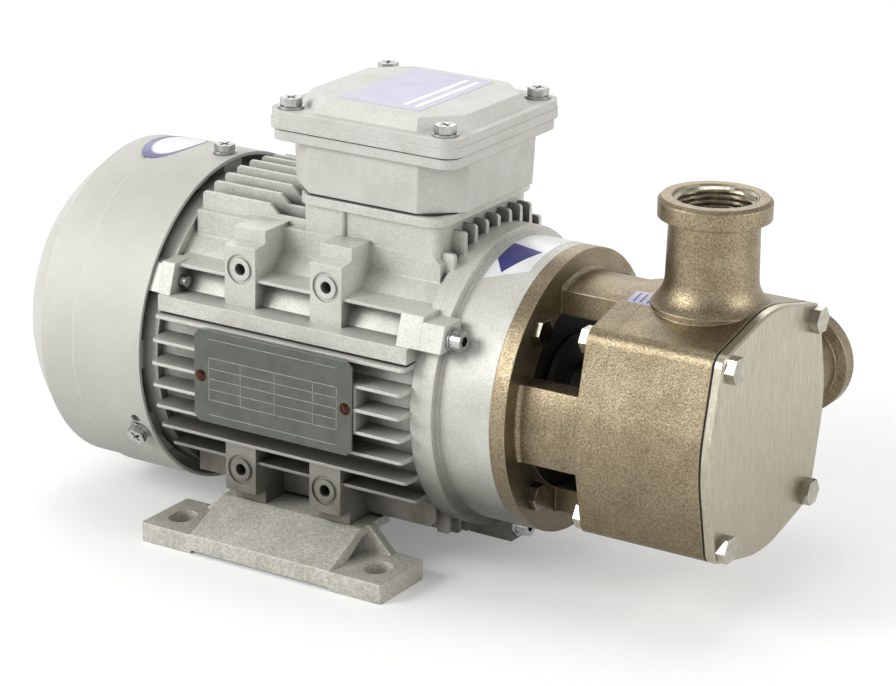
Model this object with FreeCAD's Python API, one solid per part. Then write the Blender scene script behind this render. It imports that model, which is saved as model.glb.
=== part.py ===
import FreeCAD, Part
import math
import os

from FreeCAD import Placement, Rotation, Vector

# Flexible impeller pump on a flange motor of shaft height 80.
# Millimetres. +X runs along the shaft towards the pump, +Z is up, and the origin lies on the
# floor midway between the two foot slots at the drive end.
# A radius or a height called dz is measured from the shaft axis.

# Standard sizes of the motor: shaft height, foot slots and the face flange
SHAFT_HEIGHT = 80.0
FOOT_SLOT_PITCH_X = 100.0
FOOT_SLOT_PITCH_Y = 125.0
FLANGE_X = 50.0
FLANGE_R = 60.0
FLANGE_PITCH_R = 50.0
SPIGOT_R = 40.0
SPIGOT_LENGTH = 3.0
SHAFT_END_R = 9.5
SHAFT_END_LENGTH = 40.0
FRAME_MID_X = -47.5

# Clearances shared by everything that fits together, how far a cutting tool runs past a face, how
# far joined shapes overlap and how deep a cast root sinks into its wall
SCREW_CLEARANCE = 0.15
SCREW_END_GAP = 1.0
SLIP = 0.1
RUNNING_GAP = 0.3
SPIGOT_FIT = 0.05
OVERRUN = 1.0
OVERLAP = 1.0
ROOT_SINK = 2.0

# Motor frame: barrel, fins, rail, corner walls, bosses, lugs and the box pedestal
CORE_R = 57.5
FRAME_WALL = 4.5
FRAME_REAR_X = -110.0
FRAME_FRONT_X = 19.6
FRONT_RING_R = 64.0
FRONT_RING_WIDTH = 4.4
FIN_TIP_R = 73.0
FIN_TIP_THICKNESS = 1.3
FIN_ROOT_THICKNESS = 3.1
FIN_NOSE_R = 1.5
FIN_REAR_X = -108.2
FIN_FRONT_X = 17.2
SIDE_FIN_PITCH = 9.9
SIDE_FIN_STEPS = (-3, -2, -1, 0, 1, 2)
CORNER_FIN_DZ = 40.2
CORNER_FIN_TIP_Y = 58.6
TOP_FIN_OFFSETS = (0.0, 9.2, 17.9, 25.9, 34.0)
TOP_FIN_HEIGHT = 72.0
TOP_FIN_CROWN_R = 104.0
TOP_FIN_FRONT_DZ = (68.7, 68.7, 68.7, 67.6, 60.1)
RAIL_DZ = 21.8
RAIL_THICKNESS = 6.8
RAIL_TIP_Y = 67.5
RAIL_ROOT_Y = 54.0
CORNER_WALL = ((35.0, 58.8), (38.9, 58.8), (38.9, 47.0), (44.4, 40.9), (41.0, 40.5), (35.0, 48.5))
CORNER_WALL_FRONT_X = 13.0
CORNER_WALL_CHAMFER = 3.0
BOSS_STATIONS = (-71.3, -28.6)
BOSS_WIDTH = 15.4
BOSS_FACE_Y = 60.1
BOSS_STEP_Y = 52.7
BOSS_STEP_DZ = 54.2
BOSS_TOP_DZ = 60.5
BOSS_INNER_Y = 33.0
BOSS_ROOT_DZ = 50.5
BOSS_ROOT_Y = 52.0
BOSS_STEP_RISE = 1.0
BOSS_HOLE_DZ = 44.4
BOSS_HOLE_R = 2.6
BOSS_HOLE_DEPTH = 12.0
BOSS_GROOVE_OUTER_R = 6.5
BOSS_GROOVE_INNER_R = 4.8
BOSS_GROOVE_DEPTH = 0.9
SHIELD_LUG_ANGLES = (30.0, 150.0, 270.0)
SHIELD_SCREW_PITCH_R = 66.0
LUG_REACH = 72.5
LUG_WIDTH = 10.0
FRAME_LUG_LENGTH = 10.6
REAR_LUG_LENGTH = 6.6
SIDE_LUG_INNER_Y = 50.0
SIDE_LUG_LOW_Y = 65.7
SIDE_LUG_HIGH_Y = 62.2
SIDE_LUG_HIGH_DZ = 39.5
FRAME_LUG_RISE = 2.0

# Pedestal under the terminal box, cast on the frame
BOX_X = -24.4
PEDESTAL_REAR_X = -54.5
PEDESTAL_FRONT_X = 11.0
PEDESTAL_HALF_WIDTH = 38.5
PEDESTAL_FLANGE_DZ = 71.3
BOX_FLOOR_DZ = 75.2
PEDESTAL_OVERHANG = 2.6
PEDESTAL_CORNER_R = 2.5
PEDESTAL_FAR_CORNER_R = 11.0
PEDESTAL_FLANGE_CORNER_R = 8.0
PEDESTAL_FLANGE_FAR_R = 14.0
PEDESTAL_RIB_X = -34.6
PEDESTAL_RIB_R = 1.7
WIRE_WAY_LENGTH = 30.0
WIRE_WAY_WIDTH = 24.0
WIRE_WAY_CORNER_R = 4.0
FIN_STEP_X = -74.0
FIN_STEP_RUN = 4.6
FIN_STEP_DROP = 4.2

# Drive end shield
SHIELD_RING_WIDTH = 5.6
SHIELD_BEAD_R = 61.0
SHIELD_BEAD_WIDTH = 1.4
SHIELD_LUG_LENGTH = 10.4
SHIELD_SCREW_R = 2.5
SHIELD_SCREW_LENGTH = 20.0
SHIELD_SCREW_HEAD_R = 4.25
SHIELD_SCREW_HEAD = 5.0
SHIELD_SCREW_SOCKET = 4.0
SHIELD_WASHER_R = 5.0
SHIELD_WASHER = 1.2
SHIELD_HOLE_DEPTH = 12.0
SHIELD_HEAD_ROOM = 7.5
SHIELD_WALL = 6.0
SHIELD_PLATE = 8.0
SHIELD_SPIGOT_LENGTH = 4.0
HUB_WALL = 6.5
SPIGOT_WALL = 3.5
BEARING_STOP = 1.5
BEARING_LIP = 1.0
HUB_FLARE = 2.0
SHAFT_BODY_GAP = 1.0
FLANGE_BOLT_ANGLES = (45.0, 135.0, 225.0, 315.0)

# Deep groove ball bearings, 20 x 47 x 14
BEARING_BORE_R = 10.0
BEARING_OUTER_R = 23.5
BEARING_WIDTH = 14.0
BALL_R = 3.97
BALL_COUNT = 8
RACE_GROOVE_R = 4.27
RACE_SHOULDER = 2.3
CAGE_HALF_THICKNESS = 1.1
CAGE_WIDTH = 7.0
CAGE_BACK = 2.0
CAGE_POCKET = 10.0
FRONT_BEARING_X = 25.0
REAR_BEARING_X = -121.0
WAVE_SPRING_THICKNESS = 0.6
WAVE_SPRING_HEIGHT = 1.8
WAVE_COUNT = 3
WAVE_POINTS = 8
WAVE_FREE = 0.05
WAVE_SPRING_EDGE = 0.6
WAVE_SPRING_REACH = 4.0

# Rotating parts of the motor
SHAFT_BODY_R = 12.0
SHAFT_CHAMFER = 1.0
FAN_SEAT_R = 8.0
SHAFT_REAR_X = -166.0
ROTOR_R = 37.0
AIR_GAP = 0.4
CORE_LENGTH = 75.0
END_RING_OUTER_R = 34.0
END_RING_INNER_R = 22.0
END_RING_LENGTH = 9.0
ROTOR_VANE_COUNT = 6
ROTOR_VANE_LENGTH = 5.0
ROTOR_VANE_THICKNESS = 3.0
ROTOR_VANE_INSET = 1.0
SLOT_COUNT = 24
SLOT_INNER_R = 39.8
SLOT_OUTER_R = 51.0
SLOT_WIDTH = 4.6
COIL_OVERHANG = 17.0
COIL_TAIL = 4.0
COIL_BAR_INSET = 0.6
COIL_INNER_EDGE = 2.0
COIL_OUTER_EDGE = 3.0
COIL_SWELL = 1.0
COIL_LIFT = 1.0
KEY_WIDTH = 6.0
KEY_HEIGHT = 6.0
KEY_LENGTH = 25.0
KEY_DEPTH = 3.5
KEY_START = 1.5

# Oil seal in the flange and the slinger on the shaft
OIL_SEAL_R = 17.5
OIL_SEAL_WIDTH = 7.0
OIL_SEAL_SET_BACK = 1.0
OIL_SEAL_CASE = (2.5, 3.5)
OIL_SEAL_RECESS = 2.0
OIL_SEAL_LIP_BACK = 3.2
OIL_SEAL_LIP_RISE = 0.8
OIL_SEAL_HEEL = (1.5, 1.6)
OIL_SEAL_SKIN = 3.0
SLINGER_R = 23.5
SLINGER_WIDTH = 6.0
SLINGER_HUB = 6.0
SLINGER_EDGE = 1.0
SLINGER_DISH = 1.5
SLINGER_LIP = (0.6, 2.4)

# Rear end shield, fan and cowl
REAR_SHIELD_R = 66.0
REAR_SHIELD_WIDTH = 9.0
REAR_SHIELD_WALL = 3.0
REAR_HUB_X = -126.0
REAR_RIM_BEVEL = (2.0, 4.0)
REAR_HUB_FLARE = 4.0
REAR_HUB_THINNING = 2.0
REAR_EYE_GAP = 2.0
COWL_R = 72.8
COWL_SHEET = 1.5
COWL_RIM_X = -114.7
COWL_BEAD_X = -150.0
COWL_CREASE_X = -168.0
COWL_STEP = 0.9
COWL_CREASE_RUN = 1.0
COWL_DISH_R = 70.4
COWL_DISH_BOW = 0.8
COWL_EDGE_R = 5.0
COWL_REAR_X = -185.5
COWL_REAR_R = 56.0
COWL_REST_ANGLES = (0.0, 180.0)
COWL_SCREW_X = -121.9
COWL_SCREW_ANGLES = (90.0, 210.0, 330.0)
COWL_SCREW_R = 2.5
COWL_SCREW_LENGTH = 11.0
COWL_SCREW_AF = 8.0
COWL_SCREW_HEAD = 4.0
COWL_WASHER_R = 5.2
COWL_WASHER_THICKNESS = 1.0
COWL_PAD_LENGTH = 9.0
COWL_PAD_WIDTH = 12.5
KEYHOLE_R = 2.2
KEYHOLE_ANGLE = 204.5
GRILLE_INNER_R = 14.0
GRILLE_SLOT = 5.6
GRILLE_PITCH = 9.6
GRILLE_BAR_COUNTS = (3, 4, 6, 6)
GRILLE_BRIDGE = 5.0
GRILLE_TURN = 15.0
FAN_R = 58.0
FAN_HUB_R = 15.0
FAN_X = -160.0
FAN_HUB_LENGTH = 18.0
FAN_DISC = 2.5
FAN_BLADE_COUNT = 7
FAN_BLADE_THICKNESS = 2.4
FAN_BLADE_DEPTH = 16.0
FAN_BLADE_TIP_SHARE = 0.55
FAN_BLADE_TAPER = 14.0
FAN_DISC_MARGIN = 6.0
RETAINING_RING_THICKNESS = 1.2
RETAINING_RING_DEPTH = 0.8
RETAINING_RING_REACH = 2.2
RETAINING_RING_GAP = 4.0

# Terminal box
BOX_LENGTH = 85.4
BOX_WIDTH = 81.0
BOX_CHAMFER_X = 15.8
BOX_CHAMFER_Y = 14.0
BOX_DRAFT = 0.7
BOX_WALL = 3.2
BOX_GASKET = 0.8
BOX_WALL_HEIGHT = 21.3
BOX_RIM_HEIGHT = 4.2
BOX_RIM_INSET = 1.4
BOX_ROOM_EASE = 1.0
LID_OVERHANG_X = 3.3
LID_OVERHANG_Y = 4.0
LID_CORNER_R = 8.0
LID_GASKET = 0.8
LID_SKIRT = 4.0
LID_HEIGHT = 7.7
LID_RIM_INSET = 0.4
PANEL_HEIGHT = 5.0
PANEL_EDGE_X = 5.0
PANEL_EDGE_Y = 5.5
PANEL_CHAMFER = 16.0
PANEL_TOP_CHAMFER = 14.0
PANEL_SLOPE = 3.5
LID_WALL = 3.0
LID_SCREW_EDGE_X = 8.7
LID_SCREW_EDGE_Y = 7.7
LID_SCREW_R = 2.5
LID_SCREW_AF = 8.0
LID_SCREW_HEAD = 3.5
LID_WASHER_R = 5.4
LID_WASHER = 1.0
BOX_SCREW_X = 26.0
BOX_SCREW_Y = 24.0
BOX_SCREW_R = 2.5
BOX_SCREW_AF = 8.0
BOX_SCREW_HEAD = 3.4
BOX_SCREW_GRIP = 11.0
TERMINAL_BLOCK = (52.0, 30.0, 12.0)
BLOCK_BASE_SHARE = 0.5
BLOCK_RIB_THICKNESS = 2.0
STUD_PITCH_X = 17.0
STUD_PITCH_Y = 16.0
STUD_R = 2.0
STUD_HEIGHT = 12.0
NUT_AF = 7.0
NUT_HEIGHT = 3.2
GLAND_HOLE_R = 8.0
GLAND_AF = 19.0
GLAND_PAD = 27.0
GLAND_PAD_HEIGHT = 0.8
GLAND_PAST_WALL = 2.0
GLAND_TURN = 30.0
GLAND_BORE_R = 5.0
GLAND_COLLAR = 5.0
GLAND_DOME_R = 9.0
GLAND_DOME_END_R = 7.4
GLAND_LENGTH = 17.0
GLAND_SEAL_R = 6.4
GLAND_SEAL_START = 2.0
GLAND_SEAL_LENGTH = 11.0
CABLE_R = 4.0

# Feet
FOOT_LENGTH = 122.0
FOOT_OUTER_Y = 77.6
FOOT_PAD_WIDTH = 33.0
FOOT_PAD_HEIGHT = 8.6
FOOT_SLOT_R = 5.0
FOOT_SLOT_LENGTH = 14.0
FOOT_TOP_Y = 53.4
FOOT_TOP_INNER_Y = 31.5
FOOT_SLOPE_HALF_LENGTH = 35.3
FOOT_WALL = 4.0
FOOT_GUSSET_REACH = 12.0
FOOT_RELIEF = 1.4
FOOT_RELIEF_HALF_LENGTH = 35.0
FOOT_BOLT_Y = 38.6
FOOT_BOLT_GRIP = 9.0
FOOT_BOLT_END_GAP = 2.0
FOOT_ROOM = 2.0
FOOT_PAD_CORNER_R = 1.2
FOOT_TOE_WALL = 7.2
FOOT_SLOPE_INSET = 1.2
FOOT_GUSSET_START = 1.0

# Nameplate
NAMEPLATE_X = (-84.8, -6.4)
NAMEPLATE_DZ = (-20.0, 20.4)
NAMEPLATE_THICKNESS = 1.0
NAMEPLATE_CORNER = 2.5
RIVET_R = 1.5
RIVET_HEAD_R = 2.6
RIVET_EDGE = 3.4
RIVET_LENGTH = 7.0
RIVET_HEAD_HEIGHT = 1.2
RIVET_BLOCK = 8.0
RIVET_BLOCK_SET_BACK = 0.5
RIVET_CROWN_SHARE = 0.6

# Lantern bracket
LANTERN_FLANGE_THICKNESS = 7.0
LANTERN_PLATE_X = 84.0
CASING_X = 94.5
LANTERN_TUBE_R = 50.6
LANTERN_TUBE_WALL = 9.6
LANTERN_ROOT_R = 2.0
STRUT_WIDTH = 33.0
SEAL_BORE_R = 22.0
M6_HEAD_AF = 10.0
M6_HEAD_HEIGHT = 4.0
M6_R = 3.0
BOLT_TIP_BACK = 1.0
BRACKET_BOLT_GRIP = 10.0
COVER_BOLT_GRIP = 12.0
COVER_BOLT_END_GAP = 2.0
HEX_CROWN_SHARE = 0.96
HEX_CROWN_RISE = 1.35

# Pump casing, cover and ports
CASING_APEX = 51.2
CASING_APEX_R = 60.0
CASING_SIDE_ANGLE = 13.2
CASING_CORNER_R = 6.5
CASING_FRONT_X = 139.5
COVER_GASKET = 1.0
COVER_THICKNESS = 4.0
COVER_EDGE = 0.8
COVER_BOLT_OFFSET = 37.4
PORT_X = 116.05
PORT_FACE = 93.5
COLLAR_R = 23.0
COLLAR_HEIGHT = 8.2
COLLAR_TAPER = 1.5
COLLAR_EDGE_R = 1.5
NECK_R = 18.4
NECK_ROOT_R = 18.9
NECK_FLARE = 6.0
NECK_FLARE_DROP = 1.5
NECK_FLARE_MID = (0.29, 0.71)
NECK_FLARE_RISE = 1.7
THREAD_R = 16.63
THREAD_LENGTH = 19.0
THREAD_MOUTH_R = 17.4
THREAD_MOUTH_DEPTH = 1.2
FUNNEL_LENGTH = 4.0
FUNNEL_STEP = 1.0
PASSAGE_RUN_IN = 12.0
PASSAGE_R = 12.5
CASING_SPIGOT_BACK = 3.0
CASING_SHAFT_GAP = 2.0
COVER_GASKET_INSET = 0.4
CHAMBER_R = 32.5
CHAMBER_REAR_X = 101.5

# Cam, impeller, pump shaft and face seal
CAM_ANGLE = 45.0
CAM_HALF_ANGLE = 21.0
CAM_RISE = 5.5
CAM_SCREW_R = 2.0
CAM_SCREW_HEAD_DEPTH = 2.2
CAM_SCREW_SINK = 0.3
CAM_SCREW_HEAD_R = 3.8
CAM_SCREW_LENGTH = 14.0
VANE_COUNT = 8
VANE_ROOT_R = 15.0
VANE_ROOT_THICKNESS = 4.4
VANE_TIP_THICKNESS = 2.6
VANE_BULB_R = 2.2
VANE_PRESS_GAP = 0.1
VANE_FIT_STEPS = 12
VANE_LOOK_ASIDE = 7.0
VANE_SIDE_SHARE = 0.9
VANE_ROOT_DEPTH = 2.5
VANE_BOW = 0.10
VANE_BELLY = 0.3
VANE_START_ANGLE = 12.0
VANE_FREE_REACH = 17.2
IMPELLER_HUB_R = 12.0
IMPELLER_POCKET_DEPTH = 14.0
IMPELLER_POCKET_STEP = 1.5
IMPELLER_HUB_BACK = 1.0
SHAFT_TIP_BACK = 2.0
PUMP_SHAFT_R = 8.0
SLEEVE_R = 16.0
SLEEVE_START = 10.5
SLEEVE_END_X = 92.5
SLEEVE_FLOOR = 2.0
SLEEVE_CHAMFER = 2.0
SHAFT_ROOT_FLARE = (4.0, 1.5)
SLEEVE_GAP = 1.5
GRUB_R = 3.0
GRUB_LENGTH = 6.0
GRUB_SOCKET_AF = 3.0
GRUB_SOCKET_DEPTH = 2.5
GRUB_STATIONS = (68.0, 78.0)
SEAL_POCKET_R = 15.5
SEAT_OUTER_R = 14.0
SEAT_WIDTH = 6.0
SEAT_SHAFT_GAP = 1.0
SEAL_FACE_GAP = 0.05
SEAT_X = 95.5
SEAL_RING_R = 12.0
SEAL_RING_WIDTH = 4.0
BELLOWS_R = 11.0
BELLOWS_WIDTH = 5.0
SEAL_SPRING_R = 12.8
SEAL_SPRING_WIRE = 0.8
SEAL_SPRING_TURNS = 2

# Sizes worked out from the driving dimensions
PEDESTAL_FLANGE_Z = SHAFT_HEIGHT + PEDESTAL_FLANGE_DZ
BOX_FLOOR_Z = SHAFT_HEIGHT + BOX_FLOOR_DZ
BARREL_R = CORE_R + FRAME_WALL
RAIL_TOP_DZ = RAIL_DZ + RAIL_THICKNESS
BEARING_PITCH_R = (BEARING_BORE_R + BEARING_OUTER_R) / 2
FRONT_RING_X = FRAME_FRONT_X - FRONT_RING_WIDTH
REAR_FOOT_X = -FOOT_SLOT_PITCH_X
FOOT_MID_X = REAR_FOOT_X / 2
CORE_REAR_X = FRAME_MID_X - CORE_LENGTH / 2
CORE_FRONT_X = FRAME_MID_X + CORE_LENGTH / 2
STATOR_BORE_R = ROTOR_R + AIR_GAP
SHAFT_END_X = FLANGE_X + SHAFT_END_LENGTH
OIL_SEAL_X = FLANGE_X + SPIGOT_LENGTH - OIL_SEAL_WIDTH - OIL_SEAL_SET_BACK
KEY_X = FLANGE_X + KEY_START + SLEEVE_START
LANTERN_FRONT_X = FLANGE_X + LANTERN_FLANGE_THICKNESS
COVER_X = CASING_FRONT_X + COVER_GASKET
COVER_FRONT_X = COVER_X + COVER_THICKNESS
IMPELLER_REAR_X = CHAMBER_REAR_X + RUNNING_GAP
IMPELLER_FRONT_X = CASING_FRONT_X - RUNNING_GAP
BOX_BOTTOM_Z = BOX_FLOOR_Z + BOX_GASKET
BOX_RIM_Z = BOX_BOTTOM_Z + BOX_WALL_HEIGHT
BOX_RIM_TOP_Z = BOX_RIM_Z + BOX_RIM_HEIGHT
LID_BOTTOM_Z = BOX_RIM_TOP_Z + LID_GASKET
LID_RIM_TOP_Z = LID_BOTTOM_Z + LID_HEIGHT
PANEL_TOP_Z = LID_RIM_TOP_Z + PANEL_HEIGHT
LID_LENGTH = BOX_LENGTH + 2 * LID_OVERHANG_X
LID_WIDTH = BOX_WIDTH + 2 * LID_OVERHANG_Y
PANEL_LENGTH = LID_LENGTH - 2 * PANEL_EDGE_X
PANEL_WIDTH = LID_WIDTH - 2 * PANEL_EDGE_Y
SHIELD_REAR_X = FRAME_FRONT_X
REAR_SHIELD_X = FRAME_REAR_X


def axis_point(x, y=0.0, dz=0.0):
    """Point at x along the shaft, y across it and dz above the shaft axis."""
    return Vector(x, y, SHAFT_HEIGHT + dz)


def polar(radius, angle):
    """Y and dz of a point at a radius and an angle about the shaft, from +Y towards +Z."""
    turn = math.radians(angle)
    return radius * math.cos(turn), radius * math.sin(turn)


def disc(radius, x_start, x_end, y=0.0, dz=0.0):
    """Solid cylinder along the shaft direction."""
    return Part.makeCylinder(radius, x_end - x_start, axis_point(x_start, y, dz), Vector(1, 0, 0))


def ring(outer, inner, x_start, x_end):
    """Ring about the shaft axis."""
    return disc(outer, x_start, x_end).cut(disc(inner, x_start, x_end))


def block(x_range, y_range, z_range):
    """Box between low and high values on each axis."""
    corner = Vector(x_range[0], y_range[0], z_range[0])
    size = [high - low for low, high in (x_range, y_range, z_range)]
    return Part.makeBox(size[0], size[1], size[2], corner)


def face_of(points):
    """Plane face with straight sides through the points."""
    return Part.Face(Part.makePolygon(list(points) + [points[0]]))


def section_prism(points, x_start, x_end):
    """Extrude an outline of (y, dz) pairs along the shaft."""
    outline = face_of([axis_point(x_start, y, dz) for y, dz in points])
    return outline.extrude(Vector(x_end - x_start, 0, 0))


def side_prism(points, y_start, y_end):
    """Extrude an outline of (x, z) pairs across the shaft."""
    outline = face_of([Vector(x, y_start, z) for x, z in points])
    return outline.extrude(Vector(0, y_end - y_start, 0))


def plan_prism(points, z_start, z_end):
    """Extrude an outline of (x, y) pairs upwards."""
    outline = face_of([Vector(x, y, z_start) for x, y in points])
    return outline.extrude(Vector(0, 0, z_end - z_start))


def revolve(profile):
    """Revolve an outline of (x, radius) pairs about the shaft axis."""
    outline = face_of([axis_point(x, 0, radius) for x, radius in profile])
    return outline.revolve(axis_point(0), Vector(1, 0, 0), 360)


def turned(shape, angle):
    """Copy turned about the shaft axis."""
    copy = shape.copy()
    copy.rotate(axis_point(0), Vector(1, 0, 0), angle)
    return copy


def across(shape):
    """Mirror image on the other side of the motor."""
    return shape.mirror(Vector(0, 0, 0), Vector(0, 1, 0))


def below(shape):
    """Mirror image on the other side of the shaft axis, up and down."""
    return shape.mirror(axis_point(0), Vector(0, 0, 1))


def joined(shapes):
    """One solid from touching shapes."""
    result = shapes[0].multiFuse(shapes[1:]) if len(shapes) > 1 else shapes[0]
    return result.removeSplitter()


def cut_all(shape, tools):
    """Shape with every tool taken away."""
    return shape.cut(tools) if tools else shape


def aimed(shape, position, direction):
    """Move a shape made along +Z so that it stands at position and points along direction."""
    copy = shape.copy()
    copy.Placement = Placement(position, Rotation(Vector(0, 0, 1), direction))
    return copy


def hexagon(across_flats, z_start, z_end):
    """Hexagonal prism along +Z."""
    radius = across_flats / math.sqrt(3)
    corners = [Vector(radius * math.cos(math.radians(60 * step + 30)),
                      radius * math.sin(math.radians(60 * step + 30)), z_start) for step in range(6)]
    return face_of(corners).extrude(Vector(0, 0, z_end - z_start))


def hex_bolt(across_flats, head_height, radius, length):
    """Hexagon bolt standing on z = 0 with its shank below."""
    head = hexagon(across_flats, 0, head_height)
    crown = Part.makeCone(across_flats / math.sqrt(3) + head_height,
                          across_flats / 2 * HEX_CROWN_SHARE, head_height * HEX_CROWN_RISE)
    shank = Part.makeCylinder(radius, length, Vector(0, 0, -length))
    return joined([head.common(crown), shank])


def washer(outer, screw_r, thickness):
    """Flat washer lying on z = 0."""
    plate = Part.makeCylinder(outer, thickness)
    return plate.cut(Part.makeCylinder(screw_r + SCREW_CLEARANCE, thickness))


def rounded_plan(length, width, corner, z_start, z_end, x_mid=BOX_X, far_corner=None):
    """Upright prism with a rounded plan, whose two corners at +Y may have a radius of their own."""
    plate = block((x_mid - length / 2, x_mid + length / 2), (-width / 2, width / 2), (z_start, z_end))
    uprights = [edge for edge in plate.Edges if abs(edge.tangentAt(edge.FirstParameter).z) > 0.9]
    near = [edge for edge in uprights if edge.BoundBox.YMin < 0]
    far = [edge for edge in uprights if edge.BoundBox.YMin > 0]
    return plate.makeFillet(corner, near).makeFillet(far_corner or corner, far)


def chamfered_plan(length, width, chamfer_x, chamfer_y, x_mid=BOX_X):
    """Plan outline of a rectangle with its corners cut off, as (x, y) pairs."""
    half_x = length / 2
    half_y = width / 2
    quarter = ((half_x, half_y - chamfer_y), (half_x - chamfer_x, half_y))
    corners = [(x_mid + x, y) for x, y in quarter]
    corners += [(x_mid - x, y) for x, y in reversed(quarter)]
    corners += [(x_mid - x, -y) for x, y in quarter]
    corners += [(x_mid + x, -y) for x, y in reversed(quarter)]
    return corners


def tip_height(offset):
    """How far a side fin at this offset reaches so that its tip lies on the fin circle."""
    return math.sqrt(FIN_TIP_R ** 2 - offset ** 2)


def crown_height(offset):
    """How far a top fin at this offset reaches: its tip lies on a circle flatter than the barrel."""
    return TOP_FIN_HEIGHT - TOP_FIN_CROWN_R + math.sqrt(TOP_FIN_CROWN_R ** 2 - offset ** 2)


def fin_outline(offset, tip):
    """Tapered fin section as (across, along) pairs, its root buried in the barrel wall."""
    root = math.sqrt((BARREL_R - FRAME_WALL / 3) ** 2 - offset ** 2)
    return ((offset - FIN_ROOT_THICKNESS / 2, root), (offset - FIN_TIP_THICKNESS / 2, tip),
            (offset + FIN_TIP_THICKNESS / 2, tip), (offset + FIN_ROOT_THICKNESS / 2, root))


def fin_side(tip, front_x, front_dz):
    """Side view of a fin as (x, z) pairs, stepped down by the box if it has a front height."""
    base = SHAFT_HEIGHT
    top = SHAFT_HEIGHT + tip
    if front_dz is None:
        return (FIN_REAR_X, base), (FIN_REAR_X, top), (front_x, top), (front_x, base)
    low = top - FIN_STEP_DROP
    front = SHAFT_HEIGHT + front_dz
    middle = (PEDESTAL_REAR_X + PEDESTAL_FRONT_X) / 2
    return ((FIN_REAR_X, base), (FIN_REAR_X, top), (FIN_STEP_X, top), (FIN_STEP_X + FIN_STEP_RUN, low),
            (middle, low), (middle, front), (front_x, front), (front_x, base))


def fin(offset, tip, front_x=FIN_FRONT_X, front_dz=None):
    """One cooling fin that stands up from the barrel, tapered in section and rounded at both ends."""
    blade = section_prism(fin_outline(offset, tip), FIN_REAR_X, front_x)
    side = side_prism(fin_side(tip, front_x, front_dz),
                      offset - FIN_ROOT_THICKNESS, offset + FIN_ROOT_THICKNESS)
    for x in (FIN_REAR_X, front_x):
        corner = [edge for edge in side.Edges if abs(edge.tangentAt(edge.FirstParameter).y) > 0.9
                  and abs(edge.BoundBox.XMin - x) < SLIP and edge.BoundBox.ZMin > SHAFT_HEIGHT + SLIP]
        side = side.makeFillet(FIN_NOSE_R, corner)
    return blade.common(side)


def frame_fins():
    """All cooling fins, with the rail and the corner walls."""
    side_offsets = [-step * SIDE_FIN_PITCH for step in SIDE_FIN_STEPS]
    side_fins = [fin(offset, tip_height(offset), FRONT_RING_X + SLIP) for offset in side_offsets]
    side_fins += [fin(side * CORNER_FIN_DZ, CORNER_FIN_TIP_Y, FRONT_RING_X + SLIP) for side in (-1, 1)]
    fins = []
    for shape in side_fins:
        far_fin = turned(shape, -90)
        fins += [far_fin, across(far_fin)]
    for offset, front_dz in zip(TOP_FIN_OFFSETS, TOP_FIN_FRONT_DZ):
        for place in sorted({offset, -offset}):
            tip = crown_height(place)
            fins += [fin(place, tip, front_dz=front_dz), below(fin(place, tip - FIN_STEP_DROP))]
    outline = ((RAIL_ROOT_Y, RAIL_DZ), (RAIL_TIP_Y, RAIL_DZ), (RAIL_TIP_Y, RAIL_TOP_DZ),
               (RAIL_ROOT_Y, RAIL_TOP_DZ))
    rail = section_prism(outline, FIN_REAR_X, FRONT_RING_X + SLIP)
    return fins + [rail, across(rail)] + four_quarters(corner_wall())


def corner_wall():
    """Wall along the upper quarter at +Y, its front corner cut off."""
    wall = section_prism(CORNER_WALL, FIN_REAR_X, CORNER_WALL_FRONT_X)
    low = SHAFT_HEIGHT + min(dz for y, dz in CORNER_WALL) - OVERRUN
    high = SHAFT_HEIGHT + max(dz for y, dz in CORNER_WALL)
    side = ((FIN_REAR_X, low), (FIN_REAR_X, high), (CORNER_WALL_FRONT_X - CORNER_WALL_CHAMFER, high),
            (CORNER_WALL_FRONT_X, high - CORNER_WALL_CHAMFER), (CORNER_WALL_FRONT_X, low))
    return wall.common(side_prism(side, 0, BARREL_R))


def frame_boss(x):
    """Mounting boss on the upper quarter at +Y."""
    outline = ((BOSS_FACE_Y, RAIL_TOP_DZ), (BOSS_FACE_Y, BOSS_STEP_DZ),
               (BOSS_STEP_Y, BOSS_STEP_DZ + BOSS_STEP_RISE),
               (BOSS_STEP_Y, BOSS_TOP_DZ), (BOSS_INNER_Y, BOSS_TOP_DZ), (BOSS_INNER_Y, BOSS_ROOT_DZ),
               (BOSS_ROOT_Y, RAIL_TOP_DZ))
    return section_prism(outline, x - BOSS_WIDTH / 2, x + BOSS_WIDTH / 2)


def boss_hole(x):
    """Tapped hole and ring groove in the face of the boss at +Y."""
    outward = Vector(0, -1, 0)
    centre = axis_point(x, BOSS_FACE_Y, BOSS_HOLE_DZ)
    hole = Part.makeCylinder(BOSS_HOLE_R, BOSS_HOLE_DEPTH, centre, outward)
    groove = Part.makeCylinder(BOSS_GROOVE_OUTER_R, BOSS_GROOVE_DEPTH, centre, outward)
    land = Part.makeCylinder(BOSS_GROOVE_INNER_R, BOSS_GROOVE_DEPTH, centre, outward)
    return [hole, groove.cut(land)]


def four_quarters(shape):
    """The shape in all four quarters about the shaft."""
    return [shape, across(shape), below(shape), below(across(shape))]


def lower_lug(x_start, x_end):
    """Screw lug under a ring."""
    z_range = (SHAFT_HEIGHT - LUG_REACH, SHAFT_HEIGHT - CORE_R - ROOT_SINK)
    return block((x_start, x_end), (-LUG_WIDTH / 2, LUG_WIDTH / 2), z_range)


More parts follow.
